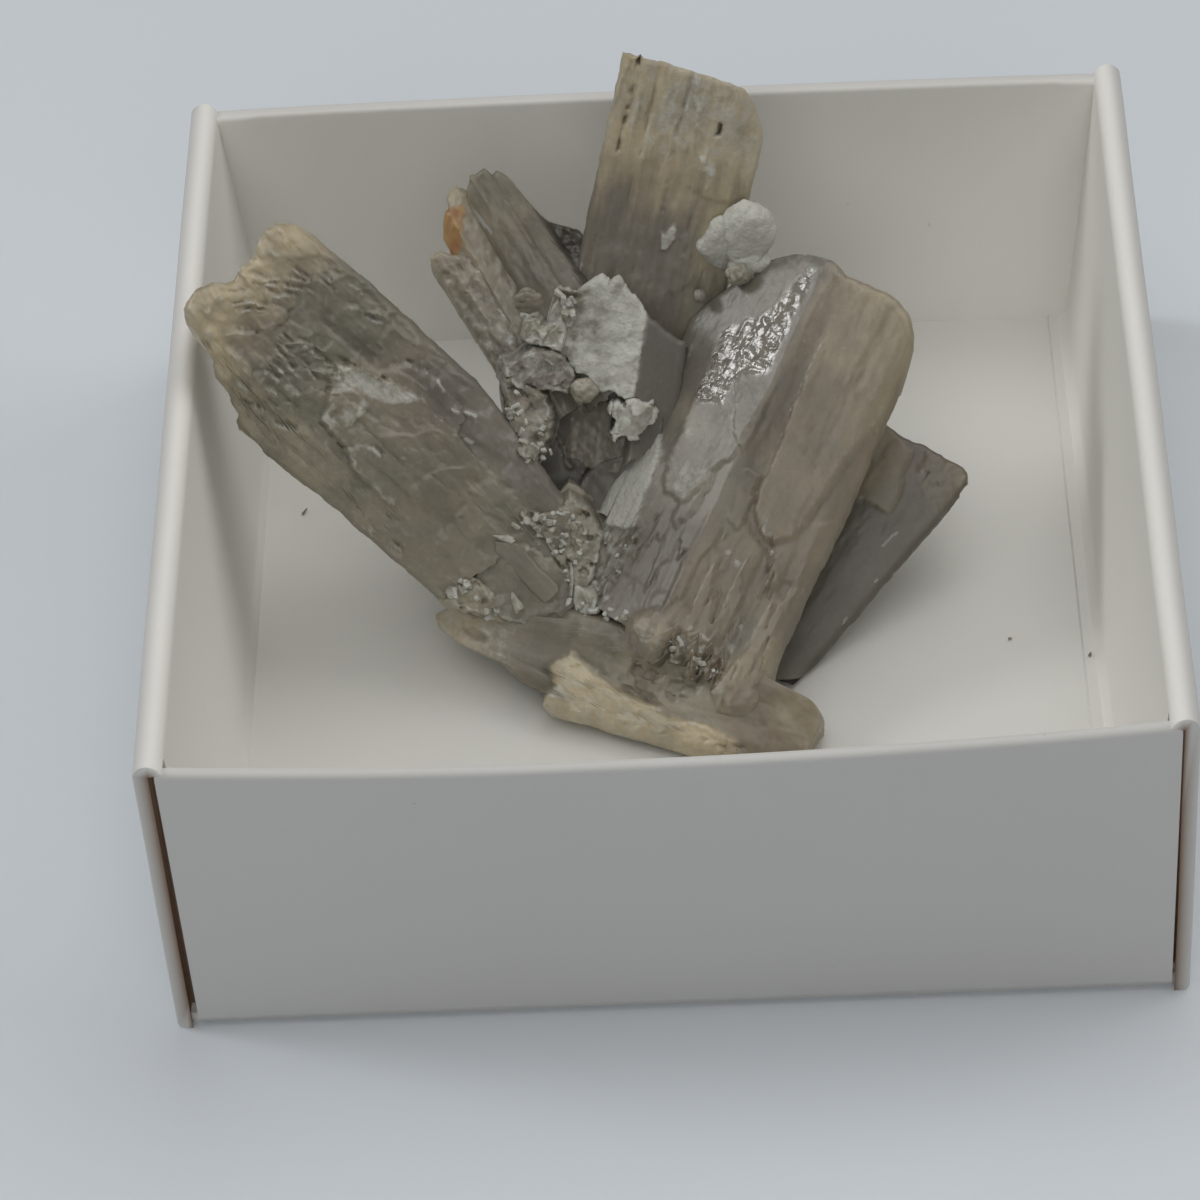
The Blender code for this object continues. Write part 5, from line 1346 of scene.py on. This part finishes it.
def splinters(material):
    """The broken laths and the block, darkened as painted shade, that stick out where the left crystal meets
    the front plate.
    """
    # Painted shade: the block's dark tone stands for the shade where it is recessed
    splinter("foot_block", LEFT, (-1.45, -4.4, -0.75), (-1.5, 0.6, -0.45), 1.9, 1.6, material, 960,
             {"dark": 0.25})
    splinter("foot_lath", MIDDLE, (-0.1, -1.35, 1.6), (-2.65, 0.75, 2.05), 0.95, 0.9, material, 962,
             {"tan": 0.1, "violet": 0.3, "dark": 0.12})
    splinter("foot_lath_tip", MIDDLE, (-2.0, 0.75, 2.0), (-2.85, 0.95, 2.2), 0.35, 0.4, material, 964,
             {"frost": 0.6})
    splinter("pale_splinter", MIDDLE, (-1.3, -2.1, 2.2), (-1.7, -1.3, 2.2), 0.4, 0.5, material, 966,
             {"frost": 0.5})
    splinter("bright_splinter", MIDDLE, (2.05, -1.0, 1.5), (2.5, 1.3, 0.8), 0.2, 0.5, material, 968,
             {"frost": 0.35})
    splinter("thin_splinter", MIDDLE, (0.75, -1.3, 1.35), (0.55, 0.2, 1.35), 0.2, 0.4, material, 970,
             {"frost": 0.5})


def ball(name, centre, radii, material, seed, masks, rows=48, swell=0.2, facets=0.0, size=0.5):
    """A lump: a globe of rows and twice as many columns, its radius changed by layered noise.

    The poles are single points that fans of triangles close. Facets pull the surface flat in cells.
    """
    columns = 2 * rows
    tilt = np.pi * np.arange(1, rows) / rows
    turn = 2 * np.pi * np.arange(columns) / columns
    tilt, turn = np.meshgrid(tilt, turn, indexing="ij")
    ways = np.stack([np.sin(tilt) * np.cos(turn), np.sin(tilt) * np.sin(turn), np.cos(tilt)], -1)
    ways = np.concatenate([ways.reshape(-1, 3), [(0, 0, 1), (0, 0, -1)]])
    x, y, z = (ways * radii / size).T
    radius = 1 + swell * layered(x, y, z, seed=seed, layers=4)
    radius = radius + facets * (np.abs(grain(2.1 * x, 2.1 * y, 2.1 * z, seed=seed + 9)) - 0.3)
    points = np.asarray(centre) + ways * radii * radius[:, None]
    number = np.arange((rows - 1) * columns).reshape(rows - 1, columns)
    after = np.roll(number, -1, axis=1)
    quads = np.stack([number[:-1], number[1:], after[1:], after[:-1]], -1).reshape(-1, 4).tolist()
    north, south = len(ways) - 2, len(ways) - 1
    quads += [[north, a, b] for a, b in zip(number[0], after[0])]
    quads += [[south, b, a] for a, b in zip(number[-1], after[-1])]
    return stone(name, points, quads, material, points[:, :2].copy(), masks, sharp=30)


def lumps(material):
    """The rounded lumps on the crystals, and the mass that they all grow from."""
    root = np.array((-2.2, 2.6 + CENTRE_SHIFT, 3.4))
    ball("root", root, (4.3, 3.9, 2.4), material, 800, {"dark": 0.35, "tan": 0.2}, rows=80, swell=0.12,
         facets=0.08,
         size=1.4)
    cloudy = {"frost": 0.9, "tan": 1.0}
    ball("cloudy_lump", TALL.point(3.55, 7.0, -0.3), (1.25, 1.0, 1.65), material, 810, cloudy, 72, 0.26,
         0.06, 1.2)
    ball("cloudy_shoulder", TALL.point(2.7, 6.3, -0.35), (0.9, 0.6, 1.3), material, 815, cloudy, 64, 0.35,
         0.1, 0.9)
    ball("cloudy_tuft", TALL.point(3.9, 5.9, -0.3), (0.9, 0.7, 0.8), material, 817, cloudy, 64, 0.35, 0.1,
         0.8)
    pale = {"frost": 0.4, "tan": 0.2}
    ball("small_lump", TALL.point(3.7, 5.4, 0.2), (0.6, 0.5, 0.5), material, 820, pale, 40, 0.3, 0.3, 0.6)
    grey = {"frost": 0.15, "violet": 0.5}
    ball("little_lump", TALL.point(2.3, 4.0, 0.2), (0.32, 0.32, 0.3), material, 830, grey, 32, 0.2, 0.1,
         0.4)
    brown = {"tan": 0.05, "violet": 0.2}
    ball("round_lump", MIDDLE.point(-2.9, 10.6, -0.45), (0.62, 0.35, 0.64), material, 840, brown, 48, 0.22,
         0.2, 0.6)
    ball("hollow_lump", MIDDLE.point(0.0, 7.2, -0.5), (0.55, 0.5, 0.6), material, 850, pale, 40, 0.25, 0.15,
         0.6)


def needles(name, centres, ways, lengths, radii, blunt, make, seed, masks):
    """Many small six-sided crystals as one mesh, each a tube of two rings with flat ends."""
    count = len(centres)
    rng = np.random.default_rng(seed)
    helper = np.cross(ways, (0.31, 0.87, -0.22))
    helper = helper / np.linalg.norm(helper, axis=1)[:, None]
    other = np.cross(ways, helper)
    angle = rng.uniform(0, np.pi, count)[:, None] + np.arange(6) * np.pi / 3
    wide = radii[:, None] * rng.uniform(0.75, 1.25, (count, 6))
    rings = []
    for end, scale in ((-0.5, 1.0), (0.5, blunt)):
        slope = rng.uniform(-0.35, 0.35, (count, 1)) * np.cos(angle) * radii[:, None]
        reach = (end * lengths[:, None] + slope)[..., None] * ways[:, None]
        level = (wide * scale * np.cos(angle))[..., None] * helper[:, None]
        level = level + (wide * scale * np.sin(angle))[..., None] * other[:, None]
        rings.append(centres[:, None] + reach + level)
    points = np.stack(rings, 1).reshape(-1, 3)
    start = 12 * np.arange(count)[:, None]
    i = np.arange(6)
    j = (i + 1) % 6
    walls = np.stack([i, j, 6 + j, 6 + i], -1)
    walls = (start[..., None] + walls).reshape(-1, 4)
    lids = np.array([[0, 5, 4, 3], [0, 3, 2, 1], [6, 7, 8, 9], [6, 9, 10, 11]])
    lids = (start[..., None] + lids).reshape(-1, 4)
    shades = {label: np.repeat(np.broadcast_to(values, count), 12) for label, values in masks.items()}
    return make(name, points, np.concatenate([walls, lids]), uv=points[:, :2].copy(), masks=shades)


# Zones of small crystals: the crystal they grow on, a line through each zone as (across, along, out)
# in its frame, how far they stray from it, how many grow there, and their size
DRUSE_ZONES = (
    (MIDDLE, [(-3.2, 7.2, 0.9), (-2.6, 5.6, 1.25), (-2.0, 4.2, 1.6)], 0.5, 14, 0.15),
    (MIDDLE, [(-1.7, 5.9, 0.4), (-1.5, 4.9, 0.7), (-1.2, 4.2, 0.8)], 0.35, 9, 0.14),
    (MIDDLE, [(-1.8, 1.7, 1.7), (-0.8, 1.6, 1.35), (0.3, 2.5, 0.95)], 0.4, 18, 0.14),
    (MIDDLE, [(-0.5, 0.7, 1.4), (0.5, 0.8, 1.1), (0.4, -0.5, 1.3)], 0.5, 14, 0.14),
    (MIDDLE, [(1.0, -1.1, 1.5), (1.5, -2.0, 1.7)], 0.4, 6, 0.15),
    (MIDDLE, [(-1.7, 11.0, -0.5), (-1.0, 10.2, -0.5), (-0.8, 11.0, -0.4)], 0.3, 10, 0.2),
    (RIGHT, [(-4.0, 1.4, -1.35), (-3.4, 1.0, -1.1), (-2.6, 1.1, -0.85), (-1.6, 1.1, -0.5)], 0.3, 16, 0.15),
    (RIGHT, [(-4.3, 4.6, -1.45), (-2.6, 3.8, -0.85), (-2.9, 2.2, -0.9)], 0.45, 14, 0.1),
    (RIGHT, [(0.4, 0.9, -0.15), (1.8, 0.9, -0.5), (2.9, 0.5, -0.9)], 0.25, 14, 0.16),
    (LEFT, [(-3.6, -0.6, -0.3), (-2.7, -0.7, 0.0), (-3.0, -2.6, -0.2)], 0.25, 14, 0.18),
)


def druse(material):
    """The small crystals that stand on the crusts, scattered along a line in each zone."""
    rng = np.random.default_rng(41)
    centres, ways, lengths, radii, frost = [], [], [], [], []
    for crystal, line, stray, count, size in DRUSE_ZONES:
        share = rng.uniform(0, len(line) - 1, count)
        across, along, out = (np.interp(share, np.arange(len(line)), part) for part in np.transpose(line))
        across, along = (value + stray * rng.normal(0, 0.6, count) for value in (across, along))
        centres.append(crystal.point(across, along, out - 0.12 + rng.uniform(-0.15, 0.1, count)))
        lean = rng.normal(0, 0.9, (count, 3)) + 0.5 * crystal.front
        ways.append(lean / np.linalg.norm(lean, axis=1)[:, None])
        lengths.append(size * rng.uniform(1.2, 2.6, count))
        radii.append(size * rng.uniform(0.5, 1.0, count))
        frost.append(0.45 + 0.45 * rng.uniform(0.0, 1.0, count))
    masks = {"frost": np.concatenate(frost), "tan": 0.2}

    def make(name, points, faces, uv, masks):
        return stone(name, points, faces, material, uv, masks)

    return needles("small_crystals", np.concatenate(centres), np.concatenate(ways), np.concatenate(lengths),
                   np.concatenate(radii), 0.8, make, 43, masks)


# Bits on the tray's floor: place, length, half width and turn in degrees
CRUMBS = ((-16.15, 8.71, 0.35, 0.06, 60), (-7.82, -7.35, 0.6, 0.05, 95), (-0.52, -7.86, 0.15, 0.06, 20),
          (14.34, -0.6, 0.16, 0.05, 0), (17.64, -1.82, 0.2, 0.06, 70))


def crumbs(material):
    """The few dark crumbs and the hair that lie on the tray's floor."""
    x, y, lengths, radii, turn = np.transpose(CRUMBS)
    turn = np.radians(turn)
    ways = np.stack([np.cos(turn), np.sin(turn), 0.05 + 0 * turn], -1)
    centres = np.stack([x, y, CARD + radii + 0.12 * (x > 17)], -1)

    def make(name, points, faces, uv, masks):
        tones = {label: masks.get(label, 0.0) for label in TONES}
        return piece(name, points, faces, material, "card_tray", uv, tones)

    ways = ways / np.linalg.norm(ways, axis=1)[:, None]
    return needles("crumbs", centres, ways, lengths, radii, 0.6, make, 47, {"dark": 0.7})


# Floor, light and camera

def table():
    """The pale surface that the tray stands on."""
    mesh = bpy.data.meshes.new("table")
    reach = 2.0
    corners = [(-reach, -reach, 0), (reach, -reach, 0), (reach, reach, 0), (-reach, reach, 0)]
    mesh.from_pydata(corners, [], [(0, 1, 2, 3)])
    mesh.materials.append(table_material())
    thing = bpy.data.objects.new("table", mesh)
    bpy.context.scene.collection.objects.link(thing)


def lamp(name, turn, tilt, distance, size, strength, tint):
    """A round soft light: turned from +X, tilted from upright, and as strong as the light it sheds.

    The strength is the light that falls on a surface at the origin that faces it, which for a disc of
    radius r at distance d is its power / (pi (d^2 + r^2)).
    """
    source = bpy.data.lights.new(name, "AREA")
    source.shape = "DISK"
    source.size = size
    source.energy = math.pi * strength * (distance**2 + (size / 2) ** 2)
    source.color = tint
    thing = bpy.data.objects.new(name, source)
    turn, tilt = math.radians(turn), math.radians(tilt)
    out = np.array([math.sin(tilt) * math.cos(turn), math.sin(tilt) * math.sin(turn), math.cos(tilt)])
    side = unit(np.cross((0.0, 1.0, 0.1), out))
    up = np.cross(out, side)
    matrix = Matrix.Identity(4)
    for row in range(3):
        matrix[row][0], matrix[row][1], matrix[row][2] = side[row], up[row], out[row]
        matrix[row][3] = out[row] * distance
    thing.matrix_world = matrix
    bpy.context.scene.collection.objects.link(thing)


def light():
    """Two broad lights overhead, one in front and one at each side, a small bright one, and a pale room."""
    lamp("overhead", 240, 10, 1.2, 1.0, 0.58, (1.0, 0.99, 0.98))
    lamp("overhead_back", 68, 27, 1.2, 0.9, 0.53, (1.0, 0.99, 0.97))
    lamp("front", 270, 52, 1.2, 0.9, 0.5, (1.0, 0.99, 0.98))
    lamp("left", 170, 52, 1.2, 1.0, 0.3, (1.0, 1.0, 1.0))
    lamp("right", 15, 52, 1.2, 0.9, 0.58, (1.0, 0.99, 0.97))
    lamp("bright_window", 167, 55, 1.0, 0.24, 0.5, (1.0, 1.0, 1.0))
    world = bpy.data.worlds.new("pale_room")
    world.use_nodes = True
    world.node_tree.nodes["Background"].inputs["Color"].default_value = (0.93, 0.97, 1.0, 1.0)
    world.node_tree.nodes["Background"].inputs["Strength"].default_value = 0.05
    bpy.context.scene.world = world
    bpy.context.scene.view_settings.view_transform = "Standard"


def camera():
    """The camera at the photograph's angle: turned by azimuth, tipped down by elevation, then rolled."""
    azimuth, elevation, roll = 0.05573, 0.79038, -0.07541
    lens = bpy.data.cameras.new("camera")
    lens.sensor_width = 36.0
    lens.lens = 146.13
    lens.clip_start = 0.01
    ahead = np.array([-math.sin(azimuth) * math.cos(elevation), math.cos(azimuth) * math.cos(elevation),
                      -math.sin(elevation)])
    right = np.array([math.cos(azimuth), math.sin(azimuth), 0.0])
    up = np.cross(right, ahead)
    side = right * math.cos(roll) + up * math.sin(roll)
    top = up * math.cos(roll) - right * math.sin(roll)
    place = np.array([5.110, -145.129 + CENTRE_SHIFT, 149.705]) * MM
    matrix = Matrix.Identity(4)
    for row in range(3):
        matrix[row][0], matrix[row][1], matrix[row][2] = side[row], top[row], -ahead[row]
        matrix[row][3] = place[row]
    thing = bpy.data.objects.new("camera", lens)
    thing.matrix_world = matrix
    bpy.context.scene.collection.objects.link(thing)
    bpy.context.scene.camera = thing


def main():
    """Set the stage, then build the tray wall by wall and the cluster crystal by crystal."""
    camera()
    light()
    table()
    card = card_material(card_fibre_group())
    side_wall(-1, 0.2, card)
    side_wall(1, 0.45, card)
    end_wall(-1, FRONT_BULGE, card)
    end_wall(1, BACK_BULGE, card)
    tray_floor(card)
    aragonite = aragonite_material(blade_grain_group(), sugar_group())
    crumbs(aragonite)
    for grow in (left_crystal, back_crystals, tall_crystal, middle_crystal, dark_block, right_crystal,
                 low_right_crystal, front_crystal, lumps, crusts, splinters, druse):
        grow(aragonite)


main()
